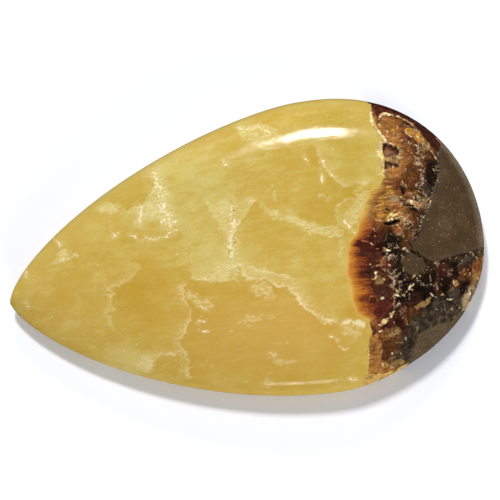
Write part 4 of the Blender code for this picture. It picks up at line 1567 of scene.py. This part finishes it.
def mudstone_colour(sheet, place, look):
    """The plain rock, finely grained with a few tan flecks, a paler lens and painted sheen on its
    rim.
    """
    grain = sheet.noise(place, 9.0, 3.0, 0.7)
    light = sheet.plus(sheet.sway(grain, 0.20),
                       sheet.spread(sheet.noise(place, 0.7), 0.3, 0.7, 0.38, 0.62))
    colour = sheet.ramp(light, ((0.0, "dark_mud"), (0.5, look.mudstone), (1.0, "pale_mud")))
    near_middle, chance = sheet.cells(place, 3.2)
    speck = sheet.times(sheet.fall(near_middle, 0.12, 0.22),
                        sheet.spread(chance, 0.5, 0.9, 0.0, 0.8))
    axes = sheet.axes(place)
    # Painted sheen pales the round end's rim near the girdle; the lens below is a little paler
    # rock.
    patch_mask = sheet.times(sheet.fall(axes["Z"], 1.9, 3.0),
                       sheet.spread(axes["Y"], -5.0, -2.0, 0.0, 0.6))
    patch_mask = sheet.most(patch_mask, sheet.spread(axes["Y"], -7.5, -8.5, 0.0, 0.10))
    patch_mask = sheet.times(patch_mask, sheet.spread(grain, 0.35, 0.55))
    return sheet.blend(patch_mask, sheet.blend(speck, colour, "mud_speck"), "rim_sheen_and_lens")


def septarian_stone(settings):
    """The one material of the stone, mixed from its three kinds of rock."""
    material = bpy.data.materials.new("polished_septarian_stone")
    material.use_nodes = True
    sheet = Sheet(material.node_tree)
    shader = material.node_tree.nodes["Principled BSDF"].inputs
    place = sheet.scale(sheet.add("TexCoord").outputs["Object"], 1 / MM)
    ragged = sheet.sway(sheet.noise(place, 2.2, 4.0, 0.65), 0.22, 0.25)
    band_edge = sheet.spread(sheet.plus(sheet.attribute("band"), ragged), -0.08, 0.10)
    mud_edge = sheet.plus(sheet.attribute("mudstone"), sheet.times(ragged, 0.5))
    mud_edge = sheet.spread(mud_edge, -0.05, 0.05)
    band, crystals = band_colour(sheet, place, settings.band)
    colour = sheet.blend(band_edge, calcite_colour(sheet, place, settings.calcite), band)
    colour = sheet.blend(sheet.attribute("covered"), colour, crystals)
    colour = sheet.blend(mud_edge, colour, mudstone_colour(sheet, place, settings.band))
    sheet.feed(shader["Base Color"], colour)
    crushed = sheet.times(sheet.attribute("crushed"), band_edge)
    dull = sheet.most(sheet.attribute("pit"), sheet.spread(crushed, 0.2, 0.9, 0.0, 0.5))
    sheet.feed(shader["Roughness"], sheet.spread(dull, 0.0, 1.0, POLISHED, MATT))
    patch_mask = sheet.spread(sheet.noise(place, 0.9), 0.35, 0.60, 0.3, 1.0)
    pores = sheet.times(sheet.noise(place, 3.6, 4.0, 0.7), patch_mask)
    bump = sheet.add("Bump", {"Height": pores, "Strength": 1.0, "Distance": PORE_DEPTH})
    sheet.feed(shader["Normal"], bump.outputs["Normal"])
    clear = sheet.math("SUBTRACT", 1.0, band_edge)
    sheet.feed(shader["Subsurface Weight"], sheet.times(clear, 0.25))
    shader["Subsurface Radius"].default_value = (1.0, 0.7, 0.3)
    shader["Subsurface Scale"].default_value = GLOW_DEPTH
    return material


class CABOCHON_OT_stone(bpy.types.Operator):
    """Models the polished stone and gives it its pattern"""

    bl_idname = "cabochon.stone"
    bl_label = "Polished Stone"

    def execute(self, context):
        settings = context.scene.cabochon
        stone = model_stone(settings.shape)
        stone.data.materials.append(septarian_stone(settings))
        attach(stone, BODY)
        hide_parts(NODE)
        return {"FINISHED"}


def add_floor():
    """A pale sheet under the stone."""
    bm = bmesh.new()
    bmesh.ops.create_grid(bm, x_segments=4, y_segments=4, size=FLOOR_REACH)
    mesh = bpy.data.meshes.new("floor")
    bm.to_mesh(mesh)
    bm.free()
    material = bpy.data.materials.new("pale_floor")
    material.use_nodes = True
    shader = material.node_tree.nodes["Principled BSDF"].inputs
    shader["Base Color"].default_value = FLOOR_COLOUR
    shader["Roughness"].default_value = FLOOR_ROUGHNESS
    shader["Specular IOR Level"].default_value = FLOOR_GLOSS
    mesh.materials.append(material)
    floor = place_object("floor", mesh)
    floor.visible_glossy = False


def light_room(scene):
    """A dim even room that the polish doesn't mirror."""
    world = bpy.data.worlds.new("studio")
    world.use_nodes = True
    background = world.node_tree.nodes["Background"].inputs
    background["Color"].default_value = (1, 1, 1, 1)
    background["Strength"].default_value = ROOM_LIGHT
    world.cycles_visibility.glossy = False
    scene.world = world
    scene.view_settings.view_transform = "Standard"


def add_panel(name, heading, rise, distance, size, power, mirrored):
    """A soft panel that looks at the stone from a compass heading, +X being 0, and a height."""
    turn, lift = math.radians(heading), math.radians(rise)
    away = Vector((math.cos(turn) * math.cos(lift), math.sin(turn) * math.cos(lift),
                   math.sin(lift)))
    data = bpy.data.lights.new(name, "AREA")
    data.shape = "RECTANGLE"
    data.size, data.size_y = size
    data.energy = power
    panel = place_object(name, data)
    facing = away.to_track_quat("Z", "Y").to_matrix().to_4x4()
    panel.matrix_world = Matrix.Translation(away * distance) @ facing
    panel.visible_glossy = mirrored


def add_camera(stage):
    """Looks down on the stone as the photo does."""
    turn, rise = stage.azimuth, stage.elevation
    back = Vector((math.sin(turn) * math.cos(rise), -math.cos(turn) * math.cos(rise),
                   math.sin(rise)))
    right = Vector((math.cos(turn), math.sin(turn), 0.0))
    top = back.cross(right)
    aim = Vector((0, 0, AIM_HEIGHT)) + AIM_RIGHT * right + AIM_UP * top
    data = bpy.data.cameras.new("photo_view")
    data.lens = stage.lens
    data.sensor_width = SENSOR
    data.clip_start = NEAREST_SEEN
    camera = place_object("photo_view", data)
    facing = Matrix((right, top, back)).transposed().to_4x4()
    camera.matrix_world = Matrix.Translation(aim + stage.distance * back) @ facing
    bpy.context.scene.camera = camera


class CABOCHON_OT_stage(bpy.types.Operator):
    """Lays the pale floor, sets the soft lights and places the camera"""

    bl_idname = "cabochon.stage"
    bl_label = "Stage"

    def execute(self, context):
        add_floor()
        light_room(context.scene)
        for name, placing in PANELS.items():
            add_panel(name, *placing)
        add_camera(context.scene.cabochon.stage)
        return {"FINISHED"}


class CabochonSettings(bpy.types.PropertyGroup):
    """Everything about the stone and its stage that can be changed."""

    shape: PointerProperty(type=StoneShape)
    calcite: PointerProperty(type=CalciteLook)
    band: PointerProperty(type=BandLook)
    stage: PointerProperty(type=StageLook)


class CABOCHON_PT_panel(bpy.types.Panel):
    """Lists the stone's and the stage's operators"""

    bl_label = "Septarian Cabochon"
    bl_idname = "CABOCHON_PT_panel"
    bl_space_type = "VIEW_3D"
    bl_region_type = "UI"
    bl_category = "Cabochon"

    def draw(self, context):
        for operator in OPERATORS:
            self.layout.operator(operator.bl_idname)


OPERATORS = (CABOCHON_OT_stone, CABOCHON_OT_stage)
CLASSES = (
    StoneShape, CalciteLook, BandLook, StageLook, CabochonSettings, *OPERATORS,
    CABOCHON_PT_panel,
)


def register():
    for kind in CLASSES:
        bpy.utils.register_class(kind)
    bpy.types.Scene.cabochon = PointerProperty(type=CabochonSettings)


def unregister():
    del bpy.types.Scene.cabochon
    for kind in reversed(CLASSES):
        bpy.utils.unregister_class(kind)


def main():
    register()
    bpy.ops.cabochon.stone()
    bpy.ops.cabochon.stage()


if __name__ == "__main__":
    main()
